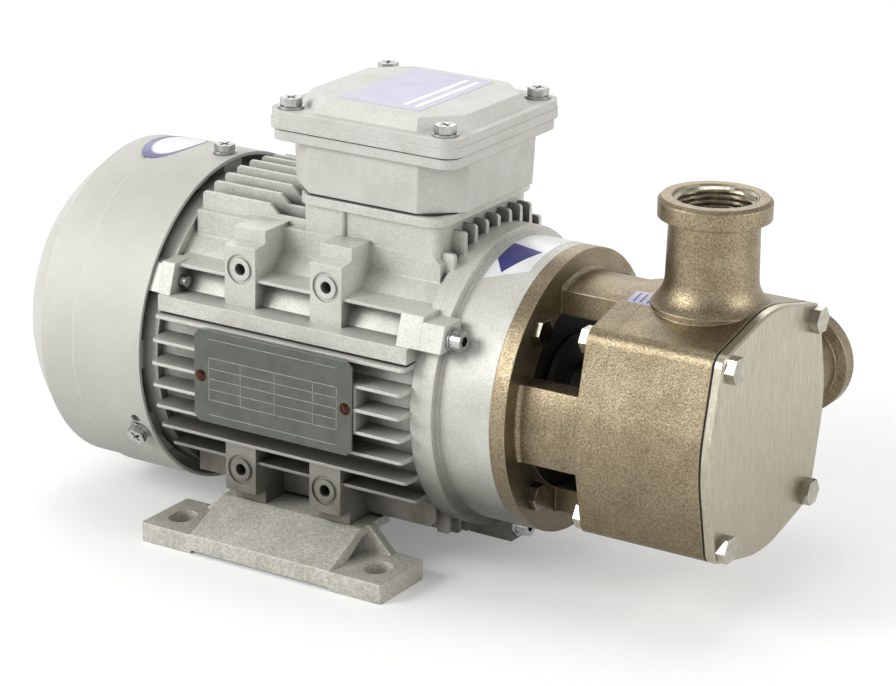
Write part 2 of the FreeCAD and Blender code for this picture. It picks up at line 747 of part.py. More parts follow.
def side_lug(x_start, x_end, rise):
    """Screw lug at +Y that stands on the rail, its outer face leaning inwards; rise lifts its top."""
    lean = (SIDE_LUG_LOW_Y - SIDE_LUG_HIGH_Y) / (SIDE_LUG_HIGH_DZ - RAIL_TOP_DZ)
    top_dz = SIDE_LUG_HIGH_DZ + rise
    outline = ((SIDE_LUG_INNER_Y, RAIL_TOP_DZ), (SIDE_LUG_LOW_Y, RAIL_TOP_DZ),
               (SIDE_LUG_HIGH_Y - rise * lean, top_dz), (SIDE_LUG_INNER_Y, top_dz))
    return section_prism(outline, x_start, x_end)


def shield_lugs(x_start, x_end, rise=0.0):
    """The three screw lugs of an end shield joint."""
    lug = side_lug(x_start, x_end, rise)
    return [lower_lug(x_start, x_end), lug, across(lug)]


def shield_screw_holes(x_start, x_end, radius=SHIELD_SCREW_R + SCREW_CLEARANCE):
    """Holes for the end shield screws, along the shaft."""
    return [disc(radius, x_start, x_end, *polar(SHIELD_SCREW_PITCH_R, angle))
            for angle in SHIELD_LUG_ANGLES]


def box_screw_places():
    """Plan positions of the screws that hold the terminal box down."""
    return [(BOX_X + sx * BOX_SCREW_X, sy * BOX_SCREW_Y) for sx in (-1, 1) for sy in (-1, 1)]


def lid_screw_places():
    """Plan positions of the terminal box lid screws."""
    x_off = LID_LENGTH / 2 - LID_SCREW_EDGE_X
    y_off = LID_WIDTH / 2 - LID_SCREW_EDGE_Y
    return [(BOX_X + sx * x_off, sy * y_off) for sx in (-1, 1) for sy in (-1, 1)]


def pedestal():
    """Seat for the terminal box: body, overhanging flange and a round rib on each side."""
    x_mid = (PEDESTAL_REAR_X + PEDESTAL_FRONT_X) / 2
    length = PEDESTAL_FRONT_X - PEDESTAL_REAR_X
    width = PEDESTAL_HALF_WIDTH * 2
    base_z = SHAFT_HEIGHT + math.sqrt(BARREL_R ** 2 - PEDESTAL_HALF_WIDTH ** 2) - FRAME_WALL / 3
    body = rounded_plan(length, width, PEDESTAL_CORNER_R, base_z, PEDESTAL_FLANGE_Z, x_mid,
                        PEDESTAL_FAR_CORNER_R)
    flange = rounded_plan(length + 2 * PEDESTAL_OVERHANG, width + 2 * PEDESTAL_OVERHANG,
                          PEDESTAL_FLANGE_CORNER_R, PEDESTAL_FLANGE_Z, BOX_FLOOR_Z, x_mid,
                          PEDESTAL_FLANGE_FAR_R)
    ribs = [Part.makeCylinder(PEDESTAL_RIB_R, PEDESTAL_FLANGE_Z - base_z,
                              Vector(PEDESTAL_RIB_X, side * PEDESTAL_HALF_WIDTH, base_z)) for side in (-1, 1)]
    return joined([body, flange] + ribs)


def wire_way(z_start, z_end):
    """Opening from the stator up into the terminal box."""
    return rounded_plan(WIRE_WAY_LENGTH, WIRE_WAY_WIDTH, WIRE_WAY_CORNER_R, z_start, z_end)


def nameplate_block(x):
    """Block between the fins that takes a nameplate rivet."""
    y_range = (-tip_height(0) + RIVET_BLOCK_SET_BACK, -BARREL_R + ROOT_SINK)
    return block((x - RIVET_BLOCK / 2, x + RIVET_BLOCK / 2), y_range,
                 (SHAFT_HEIGHT - SIDE_FIN_PITCH, SHAFT_HEIGHT + SIDE_FIN_PITCH))


def rivet_places():
    """Stations of the two nameplate rivets."""
    return NAMEPLATE_X[0] + RIVET_EDGE, NAMEPLATE_X[1] - RIVET_EDGE


def motor_frame():
    """Finned aluminium frame of the motor."""
    foot_x = (FOOT_MID_X - FOOT_LENGTH / 2, FOOT_MID_X + FOOT_LENGTH / 2)
    foot_room = [block(foot_x, sorted((side * (FOOT_TOP_INNER_Y - FOOT_ROOM), side * FOOT_OUTER_Y)),
                       (0, SHAFT_HEIGHT - BOSS_TOP_DZ)) for side in (-1, 1)]
    fins = joined(frame_fins()).cut(foot_room)
    solids = [disc(BARREL_R, FRAME_REAR_X, FRAME_FRONT_X), fins, pedestal()]
    solids.append(disc(FRONT_RING_R, FRONT_RING_X, FRAME_FRONT_X))
    for station in BOSS_STATIONS:
        solids += four_quarters(frame_boss(station))
    solids += shield_lugs(FRAME_FRONT_X - FRAME_LUG_LENGTH, FRAME_FRONT_X, FRAME_LUG_RISE)
    solids += shield_lugs(FRAME_REAR_X, FRAME_REAR_X + REAR_LUG_LENGTH, FRAME_LUG_RISE)
    solids += [nameplate_block(station) for station in rivet_places()]
    tools = [disc(CORE_R, FRAME_REAR_X, FRAME_FRONT_X), wire_way(SHAFT_HEIGHT, BOX_FLOOR_Z)]
    for station in BOSS_STATIONS:
        for hole in boss_hole(station):
            tools += four_quarters(hole)
        tools += foot_bolt_holes(station, M6_R + SCREW_CLEARANCE, SHAFT_HEIGHT - BOSS_TOP_DZ,
                                 FOOT_BOLT_GRIP + FOOT_BOLT_END_GAP)
    tools += shield_screw_holes(FRAME_FRONT_X - SHIELD_HOLE_DEPTH, FRAME_FRONT_X)
    tools += shield_screw_holes(FRAME_REAR_X, FRAME_REAR_X + SHIELD_HOLE_DEPTH)
    for x, y in box_screw_places():
        tools.append(Part.makeCylinder(BOX_SCREW_R + SCREW_CLEARANCE, BOX_SCREW_GRIP + SCREW_END_GAP,
                                       Vector(x, y, BOX_FLOOR_Z - BOX_SCREW_GRIP - SCREW_END_GAP)))
    for station in rivet_places():
        tools.append(Part.makeCylinder(RIVET_R + SCREW_CLEARANCE, RIVET_LENGTH + SCREW_END_GAP,
                                       axis_point(station, -tip_height(0)), Vector(0, 1, 0)))
    return cut_all(joined(solids), tools)


def foot_bolt_holes(x, radius, z_start, depth):
    """Upright holes for the two foot bolts at one boss station."""
    return [Part.makeCylinder(radius, depth, Vector(x, side * FOOT_BOLT_Y, z_start)) for side in (-1, 1)]


def drive_end_shield():
    """End shield with the flange, its spigot, the bearing seat and the seal seat."""
    ring_end = SHIELD_REAR_X + SHIELD_RING_WIDTH
    bead_end = ring_end + SHIELD_BEAD_WIDTH
    plate_x = FLANGE_X - SHIELD_PLATE
    hub_r = BEARING_OUTER_R + HUB_WALL
    bearing_end = FRONT_BEARING_X + BEARING_WIDTH
    stop_end = bearing_end + BEARING_STOP
    hub_x = FRONT_BEARING_X - BEARING_LIP
    body_room_r = SHAFT_BODY_R + SHAFT_BODY_GAP
    spigot_r = CORE_R - SPIGOT_FIT
    spigot_x = SHIELD_REAR_X - SHIELD_SPIGOT_LENGTH
    spigot_end = FLANGE_X + SPIGOT_LENGTH
    profile = ((spigot_x, spigot_r), (SHIELD_REAR_X, spigot_r), (SHIELD_REAR_X, FRONT_RING_R),
               (ring_end, FRONT_RING_R), (ring_end, SHIELD_BEAD_R), (bead_end, SHIELD_BEAD_R),
               (bead_end, FLANGE_R), (FLANGE_X, FLANGE_R), (FLANGE_X, SPIGOT_R), (spigot_end, SPIGOT_R),
               (spigot_end, OIL_SEAL_R), (OIL_SEAL_X, OIL_SEAL_R), (OIL_SEAL_X, body_room_r),
               (stop_end, body_room_r), (stop_end, BEARING_OUTER_R - 2 * BEARING_STOP),
               (bearing_end, BEARING_OUTER_R - 2 * BEARING_STOP), (bearing_end, BEARING_OUTER_R),
               (hub_x, BEARING_OUTER_R), (hub_x, hub_r), (plate_x, hub_r + HUB_FLARE),
               (plate_x, FLANGE_R - SHIELD_WALL), (bead_end, FLANGE_R - SHIELD_WALL),
               (spigot_x, spigot_r - SPIGOT_WALL))
    solid = joined([revolve(profile)] + shield_lugs(SHIELD_REAR_X, SHIELD_REAR_X + SHIELD_LUG_LENGTH))
    tools = [disc(M6_R + SCREW_CLEARANCE, plate_x - OVERRUN, FLANGE_X, *polar(FLANGE_PITCH_R, angle))
             for angle in FLANGE_BOLT_ANGLES]
    tools += shield_screw_holes(SHIELD_REAR_X - OVERRUN, plate_x)
    return cut_all(solid, tools)


def rear_end_shield():
    """Rear end shield with the bearing seat, its screw lugs and the pads that carry the cowl."""
    rim_x = REAR_SHIELD_X - REAR_SHIELD_WIDTH
    wall_x = rim_x + REAR_SHIELD_WALL
    spigot_x = REAR_SHIELD_X + SHIELD_SPIGOT_LENGTH
    spigot_r = CORE_R - SPIGOT_FIT
    hub_r = BEARING_OUTER_R + HUB_WALL
    seat_x = REAR_BEARING_X - WAVE_SPRING_HEIGHT
    seat_end = REAR_BEARING_X + BEARING_WIDTH
    eye_r = BEARING_BORE_R + REAR_EYE_GAP
    bevel_x, bevel_r = REAR_RIM_BEVEL
    profile = ((spigot_x, spigot_r), (REAR_SHIELD_X, spigot_r), (REAR_SHIELD_X, REAR_SHIELD_R),
               (rim_x, REAR_SHIELD_R), (rim_x - bevel_x, REAR_SHIELD_R - bevel_r),
               (wall_x - 2 * REAR_SHIELD_WALL, hub_r + REAR_HUB_FLARE),
               (REAR_HUB_X, hub_r), (REAR_HUB_X, eye_r), (seat_x, eye_r), (seat_x, BEARING_OUTER_R),
               (seat_end, BEARING_OUTER_R), (seat_end, hub_r - REAR_HUB_THINNING), (wall_x, hub_r),
               (wall_x, spigot_r - SHIELD_WALL), (spigot_x, spigot_r - SPIGOT_WALL))
    solids = [revolve(profile)]
    room = disc(COWL_R - COWL_SHEET - RUNNING_GAP, rim_x, REAR_SHIELD_X)
    solids += [lug.common(room) for lug in shield_lugs(rim_x, REAR_SHIELD_X)]
    reach = COWL_R - COWL_SHEET - SLIP
    half = COWL_PAD_WIDTH / 2
    pad_x = (COWL_SCREW_X - COWL_PAD_LENGTH / 2, COWL_SCREW_X + COWL_PAD_LENGTH / 2)
    pad = block(pad_x, (CORE_R - ROOT_SINK, reach), (SHAFT_HEIGHT - half, SHAFT_HEIGHT + half))
    pad = pad.common(disc(reach, *pad_x))
    solids += [turned(pad, angle) for angle in COWL_SCREW_ANGLES + COWL_REST_ANGLES]
    tools = shield_screw_holes(rim_x - OVERRUN, REAR_SHIELD_X)
    tools += shield_screw_holes(rim_x - SHIELD_HEAD_ROOM, rim_x, SHIELD_WASHER_R + SLIP)
    depth = COWL_SCREW_LENGTH + SCREW_END_GAP
    hole = Part.makeCylinder(COWL_SCREW_R + SCREW_CLEARANCE, depth,
                             axis_point(COWL_SCREW_X, COWL_R - depth), Vector(0, 1, 0))
    tools += [turned(hole, angle) for angle in COWL_SCREW_ANGLES]
    return cut_all(joined(solids), tools)


def cowl_skin(offset):
    """Solid of revolution inside the cowl's outer face, moved inwards by offset."""
    rear = COWL_REAR_X + offset
    outer = COWL_R - offset
    drawn = outer - COWL_STEP
    rear_r = COWL_REAR_R - offset
    dish_start = axis_point(COWL_CREASE_X - COWL_CREASE_RUN, 0, COWL_DISH_R - offset)
    dish_end = axis_point(rear, 0, rear_r)
    chord = dish_end - dish_start
    outward = Vector(chord.z, 0, -chord.x).normalize()
    dish_mid = (dish_start + dish_end) * 0.5 + outward * COWL_DISH_BOW
    points = [axis_point(COWL_RIM_X), axis_point(COWL_RIM_X, 0, outer), axis_point(COWL_BEAD_X, 0, outer),
              axis_point(COWL_BEAD_X - COWL_CREASE_RUN, 0, drawn), axis_point(COWL_CREASE_X, 0, drawn),
              dish_start]
    edges = [Part.makeLine(a, b) for a, b in zip(points, points[1:])]
    edges.append(Part.Arc(dish_start, dish_mid, dish_end).toShape())
    edges.append(Part.makeLine(dish_end, axis_point(rear)))
    edges.append(Part.makeLine(axis_point(rear), points[0]))
    solid = Part.Face(Part.Wire(edges)).revolve(axis_point(0), Vector(1, 0, 0), 360)
    rim = [edge for edge in solid.Edges
           if edge.BoundBox.XMax < rear + SLIP and edge.BoundBox.YMax > rear_r - SLIP]
    return solid.makeFillet(COWL_EDGE_R - offset, rim)


def grille_slots():
    """Arc slots in rings through the rear wall of the cowl."""
    slots = []
    cut_x = (COWL_REAR_X - OVERRUN, COWL_REAR_X + COWL_SHEET + OVERRUN)
    for row, count in enumerate(GRILLE_BAR_COUNTS):
        inner = GRILLE_INNER_R + row * GRILLE_PITCH
        outer = inner + GRILLE_SLOT
        bar = block(cut_x, (0, outer + OVERRUN),
                    (SHAFT_HEIGHT - GRILLE_BRIDGE / 2, SHAFT_HEIGHT + GRILLE_BRIDGE / 2))
        bars = [turned(bar, 360.0 * step / count + GRILLE_TURN) for step in range(count)]
        slots += ring(outer, inner, *cut_x).cut(bars).Solids
    return slots


def fan_cowl():
    """Pressed steel cowl over the fan, with a dished end, a slotted rear wall and one keyhole slot."""
    shell = cowl_skin(0).cut(cowl_skin(COWL_SHEET))
    reach = 4 * COWL_SHEET
    start = axis_point(COWL_SCREW_X, COWL_R - reach + OVERRUN)
    screw_hole = Part.makeCylinder(COWL_SCREW_R + SCREW_CLEARANCE, reach, start, Vector(0, 1, 0))
    keyhole = Part.makeCylinder(KEYHOLE_R, reach, start, Vector(0, 1, 0))
    holes = [turned(screw_hole, angle) for angle in COWL_SCREW_ANGLES] + [turned(keyhole, KEYHOLE_ANGLE)]
    return cut_all(shell, holes + grille_slots())


def cowl_screws():
    """Flanged hexagon screws that hold the cowl."""
    collar = Part.makeCylinder(COWL_WASHER_R, COWL_WASHER_THICKNESS, Vector(0, 0, SLIP))
    head = hexagon(COWL_SCREW_AF, COWL_WASHER_THICKNESS, COWL_SCREW_HEAD)
    shank = Part.makeCylinder(COWL_SCREW_R, COWL_SCREW_LENGTH, Vector(0, 0, SLIP - COWL_SCREW_LENGTH))
    base = aimed(joined([collar, head, shank]), axis_point(COWL_SCREW_X, COWL_R), Vector(0, 1, 0))
    return [turned(base, angle) for angle in COWL_SCREW_ANGLES]


def at_shield_lugs(shape, lift):
    """Copies of a shape on all six lugs of the end shields, lifted off their faces."""
    front_x = SHIELD_REAR_X + SHIELD_LUG_LENGTH + lift
    rear_x = REAR_SHIELD_X - REAR_SHIELD_WIDTH - lift
    copies = []
    for angle in SHIELD_LUG_ANGLES:
        y, dz = polar(SHIELD_SCREW_PITCH_R, angle)
        copies.append(aimed(shape, axis_point(front_x, y, dz), Vector(1, 0, 0)))
        copies.append(aimed(shape, axis_point(rear_x, y, dz), Vector(-1, 0, 0)))
    return copies


def end_shield_screws():
    """Socket head screws through the lugs of both end shields."""
    head = Part.makeCylinder(SHIELD_SCREW_HEAD_R, SHIELD_SCREW_HEAD)
    socket = hexagon(SHIELD_SCREW_SOCKET, SHIELD_SCREW_HEAD / 2, SHIELD_SCREW_HEAD)
    shank = Part.makeCylinder(SHIELD_SCREW_R, SHIELD_SCREW_LENGTH, Vector(0, 0, -SHIELD_SCREW_LENGTH))
    return at_shield_lugs(joined([head, shank]).cut(socket), SHIELD_WASHER)


def shield_screw_washers():
    """Washers under the heads of the end shield screws."""
    return at_shield_lugs(washer(SHIELD_WASHER_R, SHIELD_SCREW_R, SHIELD_WASHER), 0.0)


def cooling_fan():
    """Fan with flat radial blades on a disc."""
    hub = disc(FAN_HUB_R, FAN_X, FAN_X + FAN_HUB_LENGTH)
    plate = disc(FAN_R - FAN_DISC_MARGIN, FAN_X, FAN_X + FAN_DISC)
    root = FAN_HUB_R - ROOT_SINK
    deep = FAN_X + FAN_BLADE_DEPTH
    blades = []
    for step in range(FAN_BLADE_COUNT):
        outline = ((FAN_X, root), (FAN_X, FAN_R), (FAN_X + FAN_BLADE_DEPTH * FAN_BLADE_TIP_SHARE, FAN_R),
                   (deep, FAN_R - FAN_BLADE_TAPER), (deep, root))
        sheet = face_of([Vector(x, -FAN_BLADE_THICKNESS / 2, SHAFT_HEIGHT + r) for x, r in outline])
        blade = sheet.extrude(Vector(0, FAN_BLADE_THICKNESS, 0))
        blades.append(turned(blade, 360.0 * step / FAN_BLADE_COUNT))
    bore = disc(FAN_SEAT_R, FAN_X, FAN_X + FAN_HUB_LENGTH)
    return joined([hub, plate] + blades).cut(bore)


def fan_retaining_ring():
    """Retaining ring in its shaft groove behind the fan."""
    start = FAN_X - RETAINING_RING_THICKNESS
    full = ring(FAN_SEAT_R + RETAINING_RING_REACH, FAN_SEAT_R - RETAINING_RING_DEPTH, start, FAN_X)
    half = RETAINING_RING_GAP / 2
    gap = block((start - OVERRUN, FAN_X + OVERRUN), (-half, half),
                (SHAFT_HEIGHT, SHAFT_HEIGHT + 2 * FAN_SEAT_R))
    return full.cut(gap)


def slot_bars(width, x_start, x_end, inner, outer):
    """Bars in the stator slots."""
    bar = block((x_start, x_end), (inner, outer), (SHAFT_HEIGHT - width / 2, SHAFT_HEIGHT + width / 2))
    return [turned(bar, 360.0 * step / SLOT_COUNT) for step in range(SLOT_COUNT)]


def stator_core():
    """Laminated stator pack with its slots."""
    core = ring(CORE_R - SPIGOT_FIT, STATOR_BORE_R, CORE_REAR_X, CORE_FRONT_X)
    return core.cut(slot_bars(SLOT_WIDTH, CORE_REAR_X, CORE_FRONT_X, SLOT_INNER_R, SLOT_OUTER_R))


def stator_windings():
    """Coils in the slots and the two rings of end turns."""
    inner = SLOT_INNER_R + SLIP
    outer = SLOT_OUTER_R - SLIP
    bars = slot_bars(SLOT_WIDTH - 2 * SLIP, CORE_REAR_X - COIL_TAIL, CORE_FRONT_X + COIL_TAIL,
                     inner + COIL_BAR_INSET, outer - COIL_BAR_INSET)
    far_x = CORE_REAR_X - COIL_OVERHANG
    near_x = CORE_REAR_X - COIL_LIFT
    swollen = outer + COIL_SWELL
    rear = revolve(((far_x, inner + COIL_INNER_EDGE), (far_x, outer - COIL_SWELL),
                    (far_x + COIL_OUTER_EDGE, swollen), (near_x, swollen), (near_x, inner),
                    (far_x + COIL_INNER_EDGE, inner)))
    front = rear.mirror(axis_point(FRAME_MID_X), Vector(1, 0, 0))
    return joined([rear, front] + bars)


def rotor_core():
    """Die-cast squirrel cage rotor with vanes on its end rings."""
    body = disc(ROTOR_R, CORE_REAR_X, CORE_FRONT_X)
    rear_x = CORE_REAR_X - END_RING_LENGTH
    front_x = CORE_FRONT_X + END_RING_LENGTH
    half = ROTOR_VANE_THICKNESS / 2
    vane = block((rear_x - ROTOR_VANE_LENGTH, front_x + ROTOR_VANE_LENGTH),
                 (END_RING_INNER_R + ROTOR_VANE_INSET, END_RING_OUTER_R - ROTOR_VANE_INSET),
                 (SHAFT_HEIGHT - half, SHAFT_HEIGHT + half))
    vanes = [turned(vane, 360.0 * step / ROTOR_VANE_COUNT) for step in range(ROTOR_VANE_COUNT)]
    cage = ring(END_RING_OUTER_R, END_RING_INNER_R, rear_x, front_x)
    bore = disc(SHAFT_BODY_R, rear_x - ROTOR_VANE_LENGTH - OVERRUN, front_x + ROTOR_VANE_LENGTH + OVERRUN)
    return joined([body, cage] + vanes).cut(bore)


def motor_shaft():
    """Stepped motor shaft with a keyway in its drive end."""
    front_seat_x = FRONT_BEARING_X
    rear_seat_x = REAR_BEARING_X + BEARING_WIDTH
    groove_x = FAN_X - RETAINING_RING_THICKNESS
    groove_r = FAN_SEAT_R - RETAINING_RING_DEPTH
    profile = ((SHAFT_REAR_X, 0), (SHAFT_REAR_X, FAN_SEAT_R - SHAFT_CHAMFER),
               (SHAFT_REAR_X + SHAFT_CHAMFER, FAN_SEAT_R),
               (groove_x, FAN_SEAT_R), (groove_x, groove_r), (FAN_X, groove_r), (FAN_X, FAN_SEAT_R),
               (FAN_X + FAN_HUB_LENGTH, FAN_SEAT_R), (FAN_X + FAN_HUB_LENGTH, BEARING_BORE_R),
               (rear_seat_x, BEARING_BORE_R), (rear_seat_x, SHAFT_BODY_R), (front_seat_x, SHAFT_BODY_R),
               (front_seat_x, BEARING_BORE_R), (FLANGE_X, BEARING_BORE_R), (FLANGE_X, SHAFT_END_R),
               (SHAFT_END_X - SHAFT_CHAMFER, SHAFT_END_R), (SHAFT_END_X, SHAFT_END_R - SHAFT_CHAMFER),
               (SHAFT_END_X, 0))
    return revolve(profile).cut(key_solid(0.0, KEY_HEIGHT))


def key_solid(clearance, height):
    """Round-ended key along the shaft, on top of the drive end."""
    half = KEY_WIDTH / 2 + clearance
    bottom = SHAFT_HEIGHT + SHAFT_END_R - KEY_DEPTH
    middle = block((KEY_X + half, KEY_X + KEY_LENGTH - half), (-half, half), (bottom, bottom + height))
    ends = [Part.makeCylinder(half, height, Vector(x, 0, bottom))
            for x in (KEY_X + half, KEY_X + KEY_LENGTH - half)]
    return joined([middle] + ends)


def shaft_key():
    """Parallel key between the motor shaft and the pump sleeve."""
    return key_solid(0.0, KEY_HEIGHT)


def race_groove(x_mid):
    """Ring tube that cuts the ball grooves of a bearing."""
    return Part.makeTorus(BEARING_PITCH_R, RACE_GROOVE_R, axis_point(x_mid), Vector(1, 0, 0))


def bearing_outer_ring(x):
    """Outer ring of a bearing that starts at x."""
    body = ring(BEARING_OUTER_R, BEARING_PITCH_R + RACE_SHOULDER, x, x + BEARING_WIDTH)
    return body.cut(race_groove(x + BEARING_WIDTH / 2))


def bearing_inner_ring(x):
    """Inner ring of a bearing that starts at x."""
    body = ring(BEARING_PITCH_R - RACE_SHOULDER, BEARING_BORE_R, x, x + BEARING_WIDTH)
    return body.cut(race_groove(x + BEARING_WIDTH / 2))


def bearing_balls(x):
    """The balls of a bearing, each a solid of its own."""
    balls = []
    for step in range(BALL_COUNT):
        y, dz = polar(BEARING_PITCH_R, 360.0 * step / BALL_COUNT)
        balls.append(Part.makeSphere(BALL_R, axis_point(x + BEARING_WIDTH / 2, y, dz)))
    return balls


def bearing_cage(x):
    """Cage ring with a radial pocket round each ball."""
    middle = x + BEARING_WIDTH / 2
    body = ring(BEARING_PITCH_R + CAGE_HALF_THICKNESS, BEARING_PITCH_R - CAGE_HALF_THICKNESS,
                middle - CAGE_WIDTH / 2 - CAGE_BACK, middle + CAGE_WIDTH / 2)
    pocket = Part.makeCylinder(BALL_R + SLIP, CAGE_POCKET,
                               axis_point(middle, BEARING_PITCH_R - CAGE_POCKET / 2), Vector(0, 1, 0))
    return body.cut([turned(pocket, 360.0 * step / BALL_COUNT) for step in range(BALL_COUNT)])


def wavy_edge(radius, x_mid):
    """Closed curve about the shaft that waves along it."""
    steps = WAVE_COUNT * WAVE_POINTS
    swing = (WAVE_SPRING_HEIGHT - WAVE_SPRING_THICKNESS) / 2 - WAVE_FREE
    points = []
    for step in range(steps):
        angle = 360.0 * step / steps
        y, dz = polar(radius, angle)
        points.append(axis_point(x_mid + swing * math.cos(math.radians(angle * WAVE_COUNT)), y, dz))
    curve = Part.BSplineCurve()
    curve.interpolate(points, PeriodicFlag=True)
    return curve.toShape()


def wave_spring():
    """Waved washer that preloads the rear bearing."""
    x_mid = REAR_BEARING_X - WAVE_SPRING_HEIGHT / 2
    half = WAVE_SPRING_THICKNESS / 2
    radii = (BEARING_OUTER_R - WAVE_SPRING_EDGE, BEARING_OUTER_R - WAVE_SPRING_REACH)
    edges = [wavy_edge(radii[0], x_mid - half), wavy_edge(radii[1], x_mid - half),
             wavy_edge(radii[1], x_mid + half), wavy_edge(radii[0], x_mid + half)]
    faces = [Part.makeRuledSurface(edges[i], edges[(i + 1) % 4]) for i in range(4)]
    solid = Part.Solid(Part.Shell(faces))
    return solid if solid.Volume > 0 else solid.reversed()


def flange_shaft_seal():
    """Lip seal pressed into the flange."""
    end = OIL_SEAL_X + OIL_SEAL_WIDTH
    lip = BEARING_BORE_R + RUNNING_GAP
    case_end, case_bottom = OIL_SEAL_CASE
    heel_x, heel_rise = OIL_SEAL_HEEL
    profile = ((OIL_SEAL_X, OIL_SEAL_R), (end, OIL_SEAL_R), (end, OIL_SEAL_R - case_end),
               (end - OIL_SEAL_RECESS, OIL_SEAL_R - case_bottom),
               (end - OIL_SEAL_RECESS, lip + OIL_SEAL_LIP_RISE), (end - OIL_SEAL_LIP_BACK, lip),
               (OIL_SEAL_X + heel_x, lip + heel_rise), (OIL_SEAL_X, lip + OIL_SEAL_SKIN))
    return revolve(profile)


def slinger_ring():
    """Rubber slinger that turns with the shaft in front of the flange."""
    start = FLANGE_X + SPIGOT_LENGTH + RUNNING_GAP
    end = start + SLINGER_WIDTH
    hub_r = SHAFT_END_R + SLINGER_HUB
    lip_start, lip_end = SLINGER_LIP
    profile = ((start + SLINGER_DISH, SHAFT_END_R), (start + SLINGER_DISH, hub_r),
               (start, SLINGER_R - SLINGER_EDGE), (start + lip_start, SLINGER_R),
               (start + lip_end, SLINGER_R - SLINGER_DISH), (end - SLINGER_EDGE, hub_r),
               (end, hub_r - SLINGER_EDGE), (end, SHAFT_END_R))
    return revolve(profile)


def box_room(z_start, z_end):
    """Clear space inside the walls of the terminal box."""
    shrink = 2 * (BOX_WALL + BOX_DRAFT)
    outline = chamfered_plan(BOX_LENGTH - shrink, BOX_WIDTH - shrink,
                             BOX_CHAMFER_X - BOX_ROOM_EASE, BOX_CHAMFER_Y - BOX_ROOM_EASE)
    return plan_prism(outline, z_start, z_end)


def terminal_box():
    """Open box with drafted walls, cut corners, a screw rim and a pad for the cable gland."""
    upper = chamfered_plan(BOX_LENGTH, BOX_WIDTH, BOX_CHAMFER_X, BOX_CHAMFER_Y)
    lower = chamfered_plan(BOX_LENGTH - 2 * BOX_DRAFT, BOX_WIDTH - 2 * BOX_DRAFT,
                           BOX_CHAMFER_X, BOX_CHAMFER_Y)
    walls = loft_between(lower, BOX_BOTTOM_Z, upper, BOX_RIM_Z)
    rim = rounded_plan(LID_LENGTH - 2 * BOX_RIM_INSET, LID_WIDTH - 2 * BOX_RIM_INSET,
                       LID_CORNER_R - BOX_RIM_INSET, BOX_RIM_Z, BOX_RIM_TOP_Z)
    pad = block((BOX_X - GLAND_PAD / 2, BOX_X + GLAND_PAD / 2),
                (BOX_WIDTH / 2 - BOX_WALL, BOX_WIDTH / 2 + GLAND_PAD_HEIGHT), (BOX_BOTTOM_Z, BOX_RIM_Z))
    floor_top = BOX_BOTTOM_Z + BOX_WALL
    tools = [box_room(floor_top, BOX_RIM_TOP_Z), wire_way(BOX_BOTTOM_Z, floor_top)]
    for x, y in box_screw_places():
        tools.append(Part.makeCylinder(BOX_SCREW_R + SCREW_CLEARANCE, BOX_WALL, Vector(x, y, BOX_BOTTOM_Z)))
    for x, y in lid_screw_places():
        tools.append(Part.makeCylinder(LID_SCREW_R + SCREW_CLEARANCE, BOX_RIM_HEIGHT,
                                       Vector(x, y, BOX_RIM_Z)))
    depth = 2 * BOX_WALL
    tools.append(Part.makeCylinder(GLAND_HOLE_R + SLIP, depth + OVERRUN, gland_point(-depth),
                                   Vector(0, 1, 0)))
    return cut_all(joined([walls, rim, pad]), tools)


def terminal_box_gasket():
    """Flat gasket between the pedestal and the terminal box."""
    x_mid = (PEDESTAL_REAR_X + PEDESTAL_FRONT_X) / 2
    sheet = rounded_plan(PEDESTAL_FRONT_X - PEDESTAL_REAR_X, PEDESTAL_HALF_WIDTH * 2,
                         PEDESTAL_FLANGE_CORNER_R,
                         BOX_FLOOR_Z, BOX_BOTTOM_Z, x_mid)
    tools = [wire_way(BOX_FLOOR_Z, BOX_BOTTOM_Z)]
    for x, y in box_screw_places():
        tools.append(Part.makeCylinder(BOX_SCREW_R + SCREW_CLEARANCE, BOX_GASKET, Vector(x, y, BOX_FLOOR_Z)))
    return cut_all(sheet, tools)


def lid_gasket():
    """Gasket between the terminal box rim and its lid."""
    inset = BOX_RIM_INSET + RUNNING_GAP
    sheet = rounded_plan(LID_LENGTH - 2 * inset, LID_WIDTH - 2 * inset, LID_CORNER_R - inset,
                         BOX_RIM_TOP_Z, LID_BOTTOM_Z)
    tools = [box_room(BOX_RIM_TOP_Z, LID_BOTTOM_Z)]
    for x, y in lid_screw_places():
        tools.append(Part.makeCylinder(LID_SCREW_R + SCREW_CLEARANCE, LID_GASKET,
                                       Vector(x, y, BOX_RIM_TOP_Z)))
    return cut_all(sheet, tools)


def loft_between(low, low_z, high, high_z):
    """Ruled solid between two outlines of (x, y) pairs at two heights."""
    wires = []
    for outline, z in ((low, low_z), (high, high_z)):
        corners = [Vector(x, y, z) for x, y in outline]
        wires.append(Part.makePolygon(corners + [corners[0]]))
    return Part.makeLoft(wires, True, True)


